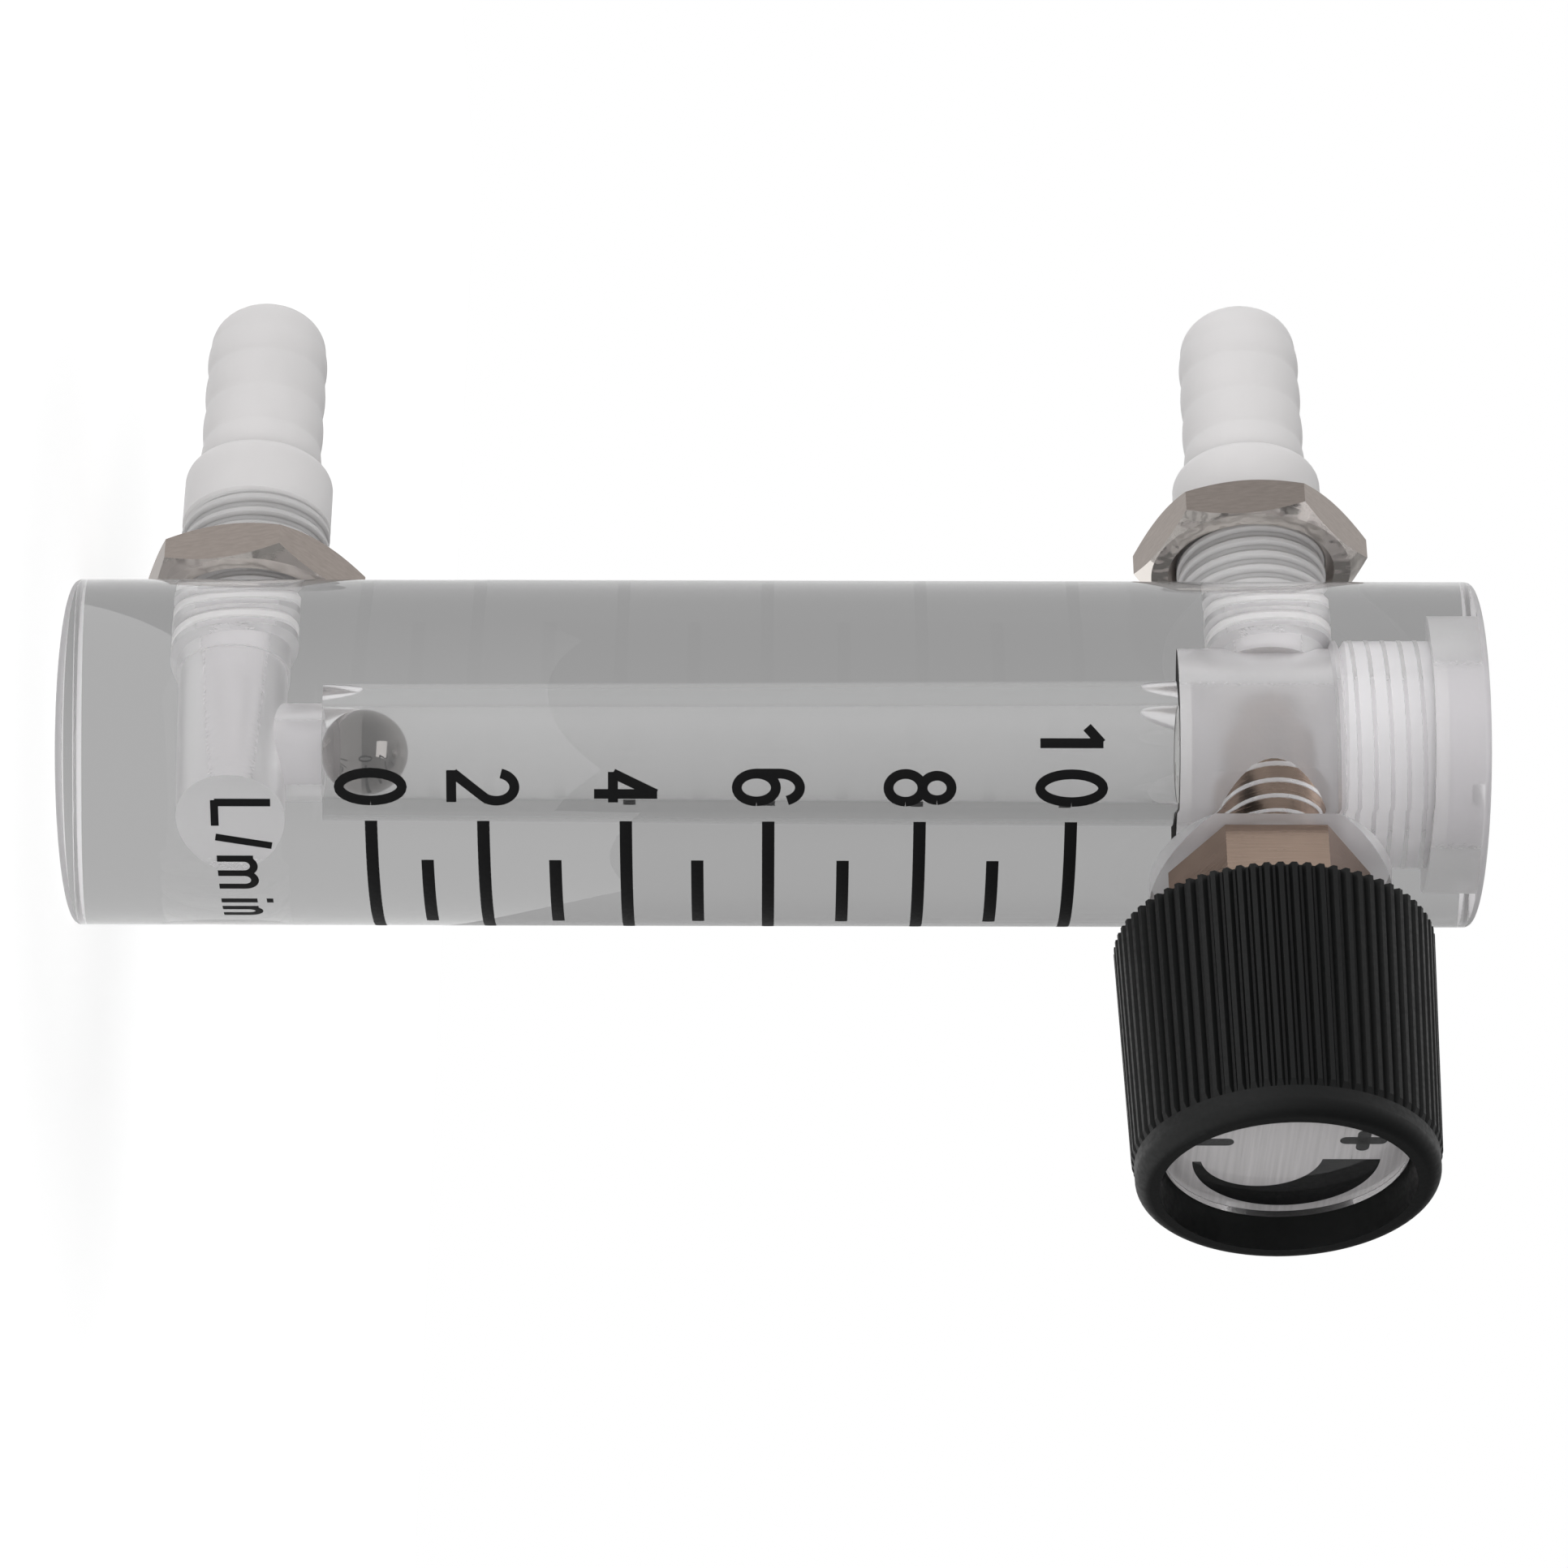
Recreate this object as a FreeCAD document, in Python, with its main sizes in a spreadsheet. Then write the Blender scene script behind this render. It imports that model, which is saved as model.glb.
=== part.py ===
import FreeCAD, Part
import os
import re
import Sketcher
from FreeCAD import Placement, Rotation, Vector

# Panel-mount oxygen flowmeter for 0 to 10 litres a minute. A clear acrylic block
# carries a tapered bore with a float ball, two hose barbs with panel nuts at the
# back and a needle valve with a ribbed knob at the front.
#
# Frame: +Z runs up the block, the origin is the middle of its flat bottom end,
# the valve faces -Y and the barbs point to +Y. Pieces that stand on a spot face
# are drawn upright, with their own Z as the distance out from that face.

SIZES = {
    # acrylic block, turned on its own axis
    "body_radius": 10.0,
    "body_length": 80.6,
    "end_chamfer": 0.4,
    "feed_radius": 1.9,
    "feed_length": 5.2,
    "bore_low_radius": 2.65,
    "bore_high_radius": 2.85,
    "chamber_radius": 4.1,
    "plug_gap": 0.09,
    "plug_tap_radius": 4.42,
    "counterbore_depth": 2.9,
    "counterbore_radius": 5.35,
    # holes across the block and the flats that they open on
    "inlet_height": 9.5,
    "outlet_drop": 12.0,
    "inlet_radius": 3.1,
    "inlet_reach": 3.4,
    "barb_tap_radius": 3.66,
    "barb_tap_depth": 4.85,
    "spot_depth": 1.95,
    "front_spot_radius": 6.9,
    "back_spot_radius": 7.2,
    "valve_tap_radius": 3.32,
    "seal_groove_radius": 4.28,
    "seal_groove_depth": 0.8,
    # play between pieces that screw or slide into each other
    "fit_gap": 0.03,
    "gasket_gap": 0.02,
    # how far cutters stand clear of a solid, and how far fused forms lap
    "cut_margin": 0.5,
    "fuse_lap": 0.5,
    # float ball and its stop
    "ball_radius": 2.49,
    "ball_lift": 2.3,
    "stop_room": 1.64,
    "stop_thickness": 0.65,
    "stop_hole_radius": 0.75,
    "stop_hole_circle": 2.2,
    "stop_hole_count": 4,
    # end plug and its gasket
    "gasket_thickness": 0.8,
    "plug_chamfer": 0.5,
    "plug_head_radius": 5.2,
    "plug_head_sink": 0.1,
    "slot_width": 1.1,
    "slot_depth": 0.75,
    "slot_angle": 34.0,
    # hose barbs
    "spigot_gap": 0.2,
    "spigot_chamfer": 0.3,
    "stud_radius": 4.4,
    "stud_length": 11.75,
    "collar_round": 0.7,
    "hose_bore_radius": 1.75,
    "barb_root_radius": 3.49,
    "barb_swell": 0.13,
    "first_ring": 2.15,
    "ring_length": 2.65,
    "last_ring": 2.05,
    "dome_length": 2.1,
    "dome_swell": 0.34,
    "tip_radius": 2.35,
    # panel nuts
    "nut_flats": 12.0,
    "nut_thickness": 2.5,
    "corner_inset": 0.1,
    "countersink": 0.5,
    "lower_nut_lift": 1.55,
    "upper_nut_lift": 4.9,
    "lower_nut_turn": -12.0,
    "upper_nut_turn": -7.0,
    # valve body
    "seal_section": 0.45,
    "valve_tip_radius": 1.6,
    "valve_tip_reach": 1.6,
    "tip_seal_section": 0.28,
    "tip_groove_width": 0.66,
    "nose_radius": 2.7,
    "nose_length": 9.05,
    "nose_chamfer": 0.4,
    "valve_thread_length": 5.7,
    "thread_run_out": 0.45,
    "hex_flats": 10.0,
    "hex_length": 4.31,
    "gland_collar_radius": 3.9,
    "gland_collar_length": 2.1,
    "orifice_radius": 0.8,
    "seat_wall": 1.3,
    "needle_room_radius": 1.9,
    "needle_room_length": 3.1,
    "stem_thread_radius": 2.0,
    "stem_thread_room": 5.0,
    "gland_radius": 2.45,
    "port_radius": 0.8,
    "port_lift": 0.8,
    "clip_wall": 0.5,
    "clip_thickness": 0.5,
    "clip_radius": 2.75,
    "clip_bore_radius": 1.65,
    # stem, drawn as it stands half open
    "needle_tip_radius": 0.15,
    "needle_reach": 0.9,
    "needle_cone_length": 3.0,
    "needle_radius": 1.1,
    "closing_room": 1.05,
    "opening_room": 1.1,
    "stem_thread_length": 3.0,
    "stem_radius": 1.5,
    "stem_gap": 0.05,
    "stem_tap_depth": 6.0,
    "piston_gap": 0.05,
    "piston_length": 3.0,
    "piston_groove_width": 1.3,
    # knob
    "knob_gap": 0.8,
    "knob_length": 15.45,
    "knob_rear_radius": 9.06,
    "knob_front_radius": 8.42,
    "knob_round": 0.8,
    "rib_count": 74,
    "rib_depth": 0.3,
    "rib_step": 0.15,
    "rib_slope": 0.35,
    "valley_width": 0.6,
    "valley_floor": 0.15,
    "valley_margin": 0.1,
    "front_band": 1.55,
    "skirt_wall": 1.4,
    "hub_radius": 3.5,
    "hub_gap": 1.4,
    "web_thickness": 1.6,
    "dial_recess_depth": 2.95,
    "dial_mouth_radius": 7.08,
    "dial_floor_radius": 6.85,
    "insert_radius": 2.6,
    "screw_sink": 1.8,
    "screw_wall": 1.0,
    "screw_shank_radius": 1.2,
    "screw_shank_length": 6.0,
    "screw_head_radius": 2.2,
    "screw_head_height": 1.4,
    "screw_pocket_radius": 2.6,
    "screw_slot_width": 0.6,
    "screw_slot_depth": 0.6,
    "label_thickness": 0.25,
    "window_thickness": 0.8,
    "window_bevel": 0.15,
    "dial_gap": 0.05,
}

# Where things come to lie, worked out from the sizes.
PLACES = {
    # up the block
    "outlet_height": "body_length - outlet_drop",
    "bore_floor": "inlet_height + feed_length",
    "ball_height": "bore_floor + ball_lift",
    "chamber_floor": "outlet_height - barb_tap_radius - stop_room",
    "plug_tap_start": "outlet_height + barb_tap_radius + plug_gap",
    "counterbore_floor": "body_length - counterbore_depth",
    "plug_head_base": "counterbore_floor + gasket_thickness + gasket_gap",
    "plug_head_top": "body_length - plug_head_sink",
    # out from the block's axis
    "spot_floor": "body_radius - spot_depth",
    "barb_tap_end": "spot_floor - barb_tap_depth",
    # out from the back spot faces
    "spigot_end": "spigot_gap - barb_tap_depth",
    "first_notch": "stud_length + first_ring",
    "dome_start": "first_notch + 2 * ring_length + last_ring",
    "barb_tip": "dome_start + dome_length",
    # out from the front spot face
    "valve_tip_end": "- 2 * spot_floor - spigot_end - valve_tip_reach",
    "tip_seal_middle": "valve_tip_end + valve_tip_reach / 2",
    "nose_end": "- nose_length",
    "seat": "nose_end + seat_wall",
    "needle_room_end": "seat + needle_room_length",
    "thread_room_end": "needle_room_end + stem_thread_room",
    "seal_middle": "seal_section + gasket_gap - seal_groove_depth",
    "hex_start": "seal_middle + seal_section + gasket_gap",
    "hex_end": "hex_start + hex_length",
    "gland_collar_end": "hex_end + gland_collar_length",
    "clip_end": "gland_collar_end - clip_wall",
    "clip_start": "clip_end - clip_thickness",
    "needle_tip": "seat - needle_reach",
    "stem_thread_start": "needle_room_end + closing_room",
    "stem_thread_end": "stem_thread_start + stem_thread_length",
    "piston_end": "clip_start - opening_room",
    "piston_start": "piston_end - piston_length",
    "piston_middle": "piston_end - piston_length / 2",
    "knob_rear": "hex_end + knob_gap",
    "knob_front": "knob_rear + knob_length",
    "rib_end": "knob_front - front_band",
    "hub_rear": "gland_collar_end + hub_gap",
    "dial_floor": "knob_front - dial_recess_depth",
    "web_rear": "dial_floor - web_thickness",
    "screw_seat": "dial_floor - screw_sink",
    "screw_top": "screw_seat + screw_head_height",
    "insert_end": "screw_seat - screw_wall",
    "stem_end": "insert_end - stem_gap",
    "window_rear": "dial_floor + label_thickness + gasket_gap",
    "window_front": "window_rear + window_thickness",
}

# How far a quarter circle of radius 1 bulges past its chord.
QUARTER_BULGE = "( 1 - sqrt(0.5) )"

doc = FreeCAD.newDocument("flowmeter")
sheet = doc.addObject("Spreadsheet::Sheet", "Sizes")
for row, (alias, size) in enumerate(SIZES.items(), start=1):
    sheet.set(f"A{row}", alias)
    sheet.set(f"B{row}", str(size))
    sheet.setAlias(f"B{row}", alias)
doc.recompute()

parts = []


def bound(text):
    """A formula in which every size is the sheet's and every place is spelt out."""
    return re.sub(r"[a-z_]+", lambda word: spelt_out(word.group()), text)


def spelt_out(word):
    if word in PLACES:
        return f"( {bound(PLACES[word])} )"
    return f"Sizes.{word}" if word in SIZES else word


def value(text):
    return float(sheet.evalExpression(bound(text)))


def new_body(label):
    body = doc.addObject("PartDesign::Body", label)
    body.Label = label
    parts.append(body)
    return body


def plane(body, role):
    return next(item for item in body.Origin.OriginFeatures if item.Role == role)


def new_sketch(body, name, role, height="0"):
    """A sketch on one of the body's own planes, lifted along its normal."""
    sketch = body.newObject("Sketcher::SketchObject", name)
    sketch.AttachmentSupport = [(plane(body, role), "")]
    sketch.MapMode = "FlatFace"
    sketch.setExpression("AttachmentOffset.Base.z", bound(height))
    return sketch


def bind(sketch, constraint, formula):
    index = sketch.addConstraint(constraint)
    sketch.setExpression(f"Constraints[{index}]", bound(formula))


def outline(sketch, points):
    """A closed outline. A point is (across, up), or (across, up, swell) where the
    edge that leaves it is an arc that bulges by that much."""
    places = [Vector(value(point[0]), value(point[1]), 0) for point in points]
    for index, point in enumerate(points):
        start = places[index]
        end = places[(index + 1) % len(places)]
        if len(point) == 3:
            chord = end - start
            side = Vector(chord.y, -chord.x, 0).normalize()
            middle = (start + end) * 0.5 + side * value(point[2])
            sketch.addGeometry(Part.Arc(start, middle, end))
        else:
            sketch.addGeometry(Part.LineSegment(start, end))
    for index, point in enumerate(points):
        after = (index + 1) % len(points)
        tail = 2
        head = 1
        if len(point) == 3:
            tail = arc_end(sketch, index, places[after])
        if len(points[after]) == 3:
            head = 3 - arc_end(sketch, after, places[(after + 1) % len(points)])
        sketch.addConstraint(Sketcher.Constraint("Coincident", index, tail, after, head))
    for index, point in enumerate(points):
        head = 1
        if len(point) == 3:
            head = 3 - arc_end(sketch, index, places[(index + 1) % len(points)])
        across = Sketcher.Constraint("DistanceX", -1, 1, index, head, places[index].x)
        up = Sketcher.Constraint("DistanceY", -1, 1, index, head, places[index].y)
        bind(sketch, across, point[0])
        bind(sketch, up, point[1])
        if len(point) == 3:
            after = points[(index + 1) % len(points)]
            run = f"( ( {after[0]} ) - ( {point[0]} ) ) ^ 2"
            rise = f"( ( {after[1]} ) - ( {point[1]} ) ) ^ 2"
            radius = f"( {run} + {rise} ) / 8 / ( {point[2]} ) + ( {point[2]} ) / 2"
            bind(sketch, Sketcher.Constraint("Radius", index, value(radius)), radius)


def arc_end(sketch, index, place):
    """Which of an arc's two end points lies at a place."""
    ends = {1: sketch.getPoint(index, 1), 2: sketch.getPoint(index, 2)}
    return min(ends, key=lambda number: ends[number].distanceToPoint(place))


def circle(sketch, radius, across="0", up="0"):
    centre = Vector(value(across), value(up), 0)
    index = sketch.addGeometry(Part.Circle(centre, Vector(0, 0, 1), value(radius)))
    bind(sketch, Sketcher.Constraint("Radius", index, value(radius)), radius)
    bind(sketch, Sketcher.Constraint("DistanceX", -1, 1, index, 3, centre.x), across)
    bind(sketch, Sketcher.Constraint("DistanceY", -1, 1, index, 3, centre.y), up)


def turned(body, name, points):
    """A piece turned about the body's Z from a half outline in its XZ plane."""
    sketch = new_sketch(body, name + "_outline", "XZ_Plane")
    outline(sketch, points)
    revolve(body, name, sketch, "PartDesign::Revolution")


def turned_cut(body, name, points):
    sketch = new_sketch(body, name + "_outline", "XZ_Plane")
    outline(sketch, points)
    before = body.Shape.Volume
    revolve(body, name, sketch, "PartDesign::Groove")
    check_cut(body, name, before)


def revolve(body, name, sketch, kind):
    feature = body.newObject(kind, name)
    feature.Profile = sketch
    feature.ReferenceAxis = (sketch, ["V_Axis"])
    feature.Angle = 360
    doc.recompute()


def raised(body, name, sketch, height):
    feature = body.newObject("PartDesign::Pad", name)
    feature.Profile = sketch
    feature.setExpression("Length", bound(height))
    doc.recompute()


def cut(body, name, sketch, depth, reverse=False, both_ways=False):
    """A pocket from a sketch, whose volume shows that it met the solid."""
    before = body.Shape.Volume
    feature = body.newObject("PartDesign::Pocket", name)
    feature.Profile = sketch
    feature.setExpression("Length", bound(depth))
    feature.Reversed = reverse
    feature.Midplane = both_ways
    doc.recompute()
    check_cut(body, name, before)
    return feature


def check_cut(body, name, before):
    if body.Shape.Volume > before - 1e-4:
        raise RuntimeError(f"{name} cuts nothing from {body.Label}")


def around(body, name, feature, count):
    """Copies of a feature round the body's Z."""
    pattern = body.newObject("PartDesign::PolarPattern", name)
    pattern.Originals = [feature]
    pattern.Axis = (plane(body, "Z_Axis"), [""])
    pattern.Angle = 360
    pattern.setExpression("Occurrences", bound(count))
    body.Tip = pattern
    doc.recompute()


def hexagon(flats):
    """Six corners with two flats square to the sketch's first axis."""
    half = f"{flats} / 2"
    edge = f"{flats} / 2 / sqrt(3)"
    tip = f"{flats} / sqrt(3)"
    return [
        (half, f"- {edge}"), (half, edge), ("0", tip),
        (f"- {half}", edge), (f"- {half}", f"- {edge}"), ("0", f"- {tip}"),
    ]


def corner_chamfer(body, name, flats, face, outward):
    """Takes a hexagon's corners off at 30 degrees on the face that looks outward,
    which is + or - along the body's Z."""
    inward = "-" if outward == "+" else "+"
    near = f"{flats} / 2 - corner_inset"
    far = f"{flats} / sqrt(3) + cut_margin"
    turned_cut(body, name, [
        (near, face),
        (far, f"{face} {inward} ( {far} - ( {near} ) ) / sqrt(3)"),
        (far, f"{face} {outward} cut_margin"),
        (near, f"{face} {outward} cut_margin"),
    ])


def hole_chamfer(body, name, radius, face, outward):
    """Countersinks a hole about the body's Z at 45 degrees on one face."""
    inward = "-" if outward == "+" else "+"
    turned_cut(body, name, [
        (f"{radius} - cut_margin", f"{face} {inward} ( countersink + cut_margin )"),
        (f"{radius} + countersink", face),
        (f"{radius} - cut_margin", face),
    ])


def across_block(body, turn, side, lift, height):
    """Stands a piece on a spot face: side is the sign of Y that it points to."""
    body.Placement = Placement(Vector(0, 0, 0), Rotation(Vector(1, 0, 0), turn))
    body.setExpression("Placement.Base.y", bound(f"{side} ( spot_floor + {lift} )"))
    body.setExpression("Placement.Base.z", bound(height))


def place_back(body, height, lift="0"):
    across_block(body, -90, "+", lift, height)


def place_front(body):
    across_block(body, 90, "-", "0", "outlet_height")


def place_up(body, height):
    body.setExpression("Placement.Base.z", bound(height))


def make_flow_body():
    """The acrylic block with its bore, chamber, plug hole and cross holes."""
    body = new_body("flow_body")
    turned(body, "block", [
        ("feed_radius", "inlet_height"),
        ("feed_radius", "bore_floor"),
        ("bore_low_radius", "bore_floor"),
        ("bore_high_radius", "chamber_floor"),
        ("chamber_radius", "chamber_floor"),
        ("chamber_radius", "plug_tap_start"),
        ("plug_tap_radius", "plug_tap_start"),
        ("plug_tap_radius", "counterbore_floor"),
        ("counterbore_radius", "counterbore_floor"),
        ("counterbore_radius", "body_length"),
        ("body_radius - end_chamfer", "body_length"),
        ("body_radius", "body_length - end_chamfer"),
        ("body_radius", "end_chamfer"),
        ("body_radius - end_chamfer", "0"),
        ("0", "0"),
        ("0", "inlet_height"),
    ])
    for height in ("inlet_height", "outlet_height"):
        spot = new_sketch(body, "back_spot", "XZ_Plane", "- spot_floor")
        circle(spot, "back_spot_radius", "0", height)
        cut(body, "back_spot_face", spot, "body_radius")
        tap = new_sketch(body, "barb_tap", "XZ_Plane", "- barb_tap_end")
        circle(tap, "barb_tap_radius", "0", height)
        cut(body, "barb_tap_hole", tap, "body_radius")
    inlet = new_sketch(body, "inlet", "XZ_Plane", "inlet_reach")
    circle(inlet, "inlet_radius", "0", "inlet_height")
    cut(body, "inlet_hole", inlet, "inlet_reach + barb_tap_end")
    front_hole(body, "front_spot", "front_spot_radius", "spot_floor")
    front_hole(body, "valve_tap", "valve_tap_radius", "0")
    front_hole(body, "seal_groove", "seal_groove_radius", "spot_floor - seal_groove_depth")


def front_hole(body, name, radius, start):
    """A round hole for the valve, from a distance in front of the axis outward."""
    sketch = new_sketch(body, name, "XZ_Plane", start)
    circle(sketch, radius, "0", "outlet_height")
    cut(body, name + "_hole", sketch, "body_radius", reverse=True)


def make_float_ball():
    """The steel ball whose middle reads the flow against the scale."""
    ball = doc.addObject("Part::Sphere", "float_ball")
    ball.Label = "float_ball"
    ball.setExpression("Radius", bound("ball_radius"))
    place_up(ball, "ball_height")
    parts.append(ball)


def make_ball_stop():
    """The drilled disc that keeps the ball out of the valve chamber."""
    body = new_body("ball_stop")
    disc = new_sketch(body, "disc", "XY_Plane")
    circle(disc, "chamber_radius - fit_gap")
    raised(body, "stop_disc", disc, "stop_thickness")
    hole = new_sketch(body, "hole", "XY_Plane")
    circle(hole, "stop_hole_radius", "stop_hole_circle")
    gas_hole = cut(body, "gas_hole", hole, "stop_thickness", reverse=True)
    around(body, "gas_holes", gas_hole, "stop_hole_count")
    place_up(body, "chamber_floor")


def make_end_plug():
    """The slotted nylon plug that closes the chamber at the top."""
    body = new_body("end_plug")
    shank = "plug_tap_radius - fit_gap"
    turned(body, "plug", [
        ("0", "plug_tap_start"),
        (f"{shank} - plug_chamfer", "plug_tap_start"),
        (shank, "plug_tap_start + plug_chamfer"),
        (shank, "plug_head_base"),
        ("plug_head_radius", "plug_head_base"),
        ("plug_head_radius", "plug_head_top"),
        ("0", "plug_head_top"),
    ])
    slot = new_sketch(body, "slot", "XY_Plane", "plug_head_top")
    slot.setExpression("AttachmentOffset.Rotation.Angle", bound("- slot_angle"))
    outline(slot, slot_across("slot_width", "counterbore_radius"))
    cut(body, "driver_slot", slot, "slot_depth")


def slot_across(width, reach):
    """A screwdriver slot's outline, longer than the head that it crosses."""
    return [
        (f"- {width} / 2", f"- {reach}"),
        (f"{width} / 2", f"- {reach}"),
        (f"{width} / 2", reach),
        (f"- {width} / 2", reach),
    ]


def make_plug_gasket():
    """The white ring between the plug's head and the counterbore's floor."""
    body = new_body("plug_gasket")
    turned(body, "ring", [
        ("plug_tap_radius", "gasket_gap / 2"),
        ("counterbore_radius - fit_gap", "gasket_gap / 2"),
        ("counterbore_radius - fit_gap", "gasket_thickness"),
        ("plug_tap_radius", "gasket_thickness"),
    ])
    place_up(body, "counterbore_floor")


def make_barb(label, height):
    """A nylon hose barb: threaded spigot and stud, then four swollen rings."""
    body = new_body(label)
    spigot = "barb_tap_radius - fit_gap"
    turned(body, "barb", [
        ("hose_bore_radius", "spigot_end"),
        (f"{spigot} - spigot_chamfer", "spigot_end"),
        (spigot, "spigot_end + spigot_chamfer"),
        (spigot, "0"),
        ("stud_radius", "0"),
        ("stud_radius", "stud_length - collar_round", f"collar_round * {QUARTER_BULGE}"),
        ("stud_radius - collar_round", "stud_length"),
        ("barb_root_radius", "stud_length", "barb_swell"),
        ("barb_root_radius", "first_notch", "barb_swell"),
        ("barb_root_radius", "first_notch + ring_length", "barb_swell"),
        ("barb_root_radius", "first_notch + 2 * ring_length", "barb_swell"),
        ("barb_root_radius", "dome_start", "dome_swell"),
        ("tip_radius", "barb_tip"),
        ("hose_bore_radius", "barb_tip"),
    ])
    place_back(body, height)


def make_nut(label, height, lift, turn):
    """A thin hexagon nut, its corners taken off on both faces."""
    body = new_body(label)
    flats = new_sketch(body, "flats", "XY_Plane")
    flats.setExpression("AttachmentOffset.Rotation.Angle", bound(turn))
    outline(flats, hexagon("nut_flats"))
    raised(body, "plate", flats, "nut_thickness")
    hole = new_sketch(body, "hole", "XY_Plane")
    circle(hole, "stud_radius + fit_gap")
    cut(body, "thread_hole", hole, "nut_thickness", reverse=True)
    for name, face, outward in (("inner", "0", "-"), ("outer", "nut_thickness", "+")):
        corner_chamfer(body, name + "_chamfer", "nut_flats", face, outward)
        hole_chamfer(body, name + "_countersink", "stud_radius + fit_gap", face, outward)
    place_back(body, height, lift)


def make_valve_body():
    """The nickel-plated valve: outlet tip, threaded nose, hexagon and gland."""
    body = new_body("valve_body")
    thread = "valve_tap_radius - fit_gap"
    thread_room = "stem_thread_radius + fit_gap"
    tip_groove = "hose_bore_radius - fit_gap - 2 * tip_seal_section - gasket_gap"
    turned(body, "valve", [
        ("orifice_radius", "valve_tip_end"),
        ("valve_tip_radius", "valve_tip_end"),
        ("valve_tip_radius", "tip_seal_middle - tip_groove_width / 2"),
        (tip_groove, "tip_seal_middle - tip_groove_width / 2"),
        (tip_groove, "tip_seal_middle + tip_groove_width / 2"),
        ("valve_tip_radius", "tip_seal_middle + tip_groove_width / 2"),
        ("valve_tip_radius", "nose_end"),
        ("nose_radius - nose_chamfer", "nose_end"),
        ("nose_radius", "nose_end + nose_chamfer"),
        ("nose_radius", "- valve_thread_length - thread_run_out"),
        (thread, "- valve_thread_length"),
        (thread, "hex_start"),
        ("gland_collar_radius", "hex_start"),
        ("gland_collar_radius", "gland_collar_end"),
        ("gland_radius", "gland_collar_end"),
        ("gland_radius", "clip_end"),
        ("clip_radius", "clip_end"),
        ("clip_radius", "clip_start"),
        ("gland_radius", "clip_start"),
        ("gland_radius", "thread_room_end"),
        (thread_room, "thread_room_end"),
        (thread_room, "needle_room_end"),
        ("needle_room_radius", "needle_room_end"),
        ("needle_room_radius", "seat"),
        ("orifice_radius", "seat"),
    ])
    flats = new_sketch(body, "flats", "XY_Plane", "hex_start")
    outline(flats, hexagon("hex_flats"))
    circle(flats, "gland_collar_radius - fuse_lap")
    raised(body, "hexagon", flats, "hex_length")
    corner_chamfer(body, "hexagon_chamfer", "hex_flats", "hex_end", "+")
    ports = new_sketch(body, "ports", "XZ_Plane")
    circle(ports, "port_radius", "0", "seat + port_lift")
    cut(body, "side_ports", ports, "2 * ( nose_radius + cut_margin )", both_ways=True)
    place_front(body)


def make_ring(label, radius, section, height):
    """A round-section sealing ring about the valve's axis."""
    body = new_body(label)
    sketch = new_sketch(body, "section", "XZ_Plane")
    circle(sketch, section, radius, height)
    revolve(body, "ring", sketch, "PartDesign::Revolution")
    place_front(body)


def make_stem_clip():
    """The ring in the gland's groove that stops the stem at full open."""
    body = new_body("stem_clip")
    turned(body, "clip", [
        ("clip_bore_radius", "clip_start"),
        ("clip_radius", "clip_start"),
        ("clip_radius", "clip_end"),
        ("clip_bore_radius", "clip_end"),
    ])
    place_front(body)


def make_valve_stem():
    """The stem: needle, screw thread, piston with its groove, and shaft."""
    body = new_body("valve_stem")
    piston = "gland_radius - piston_gap"
    groove = "gland_radius - piston_gap - 2 * seal_section"
    turned(body, "stem", [
        ("0", "needle_tip"),
        ("needle_tip_radius", "needle_tip"),
        ("needle_radius", "needle_tip + needle_cone_length"),
        ("needle_radius", "stem_thread_start"),
        ("stem_thread_radius", "stem_thread_start"),
        ("stem_thread_radius", "stem_thread_end"),
        ("stem_radius", "stem_thread_end"),
        ("stem_radius", "piston_start"),
        (piston, "piston_start"),
        (piston, "piston_middle - piston_groove_width / 2"),
        (groove, "piston_middle - piston_groove_width / 2"),
        (groove, "piston_middle + piston_groove_width / 2"),
        (piston, "piston_middle + piston_groove_width / 2"),
        (piston, "piston_end"),
        ("stem_radius", "piston_end"),
        ("stem_radius", "stem_end"),
        ("screw_shank_radius + fit_gap", "stem_end"),
        ("screw_shank_radius + fit_gap", "stem_end - stem_tap_depth"),
        ("0", "stem_end - stem_tap_depth"),
    ])
    place_front(body)


def make_knob():
    """The moulded knob: ribbed shell, hub, web and the recess of its dial."""
    body = new_body("knob")
    insert = "insert_radius + fit_gap"
    turned(body, "shell", [
        (insert, "hub_rear"),
        ("hub_radius", "hub_rear"),
        ("hub_radius", "web_rear"),
        ("knob_front_radius - skirt_wall", "web_rear"),
        ("knob_rear_radius - skirt_wall", "knob_rear"),
        ("knob_rear_radius", "knob_rear"),
        ("knob_front_radius + rib_step", "rib_end - rib_slope"),
        ("knob_front_radius", "rib_end"),
        ("knob_front_radius", "knob_front - knob_round", f"knob_round * {QUARTER_BULGE}"),
        ("knob_front_radius - knob_round", "knob_front"),
        ("dial_mouth_radius", "knob_front"),
        ("dial_floor_radius", "dial_floor"),
        ("screw_pocket_radius", "dial_floor"),
        ("screw_pocket_radius", "screw_seat"),
        ("stem_radius", "screw_seat"),
        ("stem_radius", "insert_end"),
        (insert, "insert_end"),
    ])
    rear = new_sketch(body, "valley_rear", "XY_Plane", "knob_rear - valley_margin")
    outline(rear, valley("knob_rear_radius"))
    front = new_sketch(body, "valley_front", "XY_Plane", "rib_end")
    outline(front, valley("knob_front_radius + rib_step"))
    before = body.Shape.Volume
    valley_cut = body.newObject("PartDesign::SubtractiveLoft", "rib_valley_cut")
    valley_cut.Profile = rear
    valley_cut.Sections = [front]
    valley_cut.Ruled = True
    doc.recompute()
    check_cut(body, "rib_valley_cut", before)
    around(body, "rib_valleys", valley_cut, "rib_count")
    place_front(body)


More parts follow.
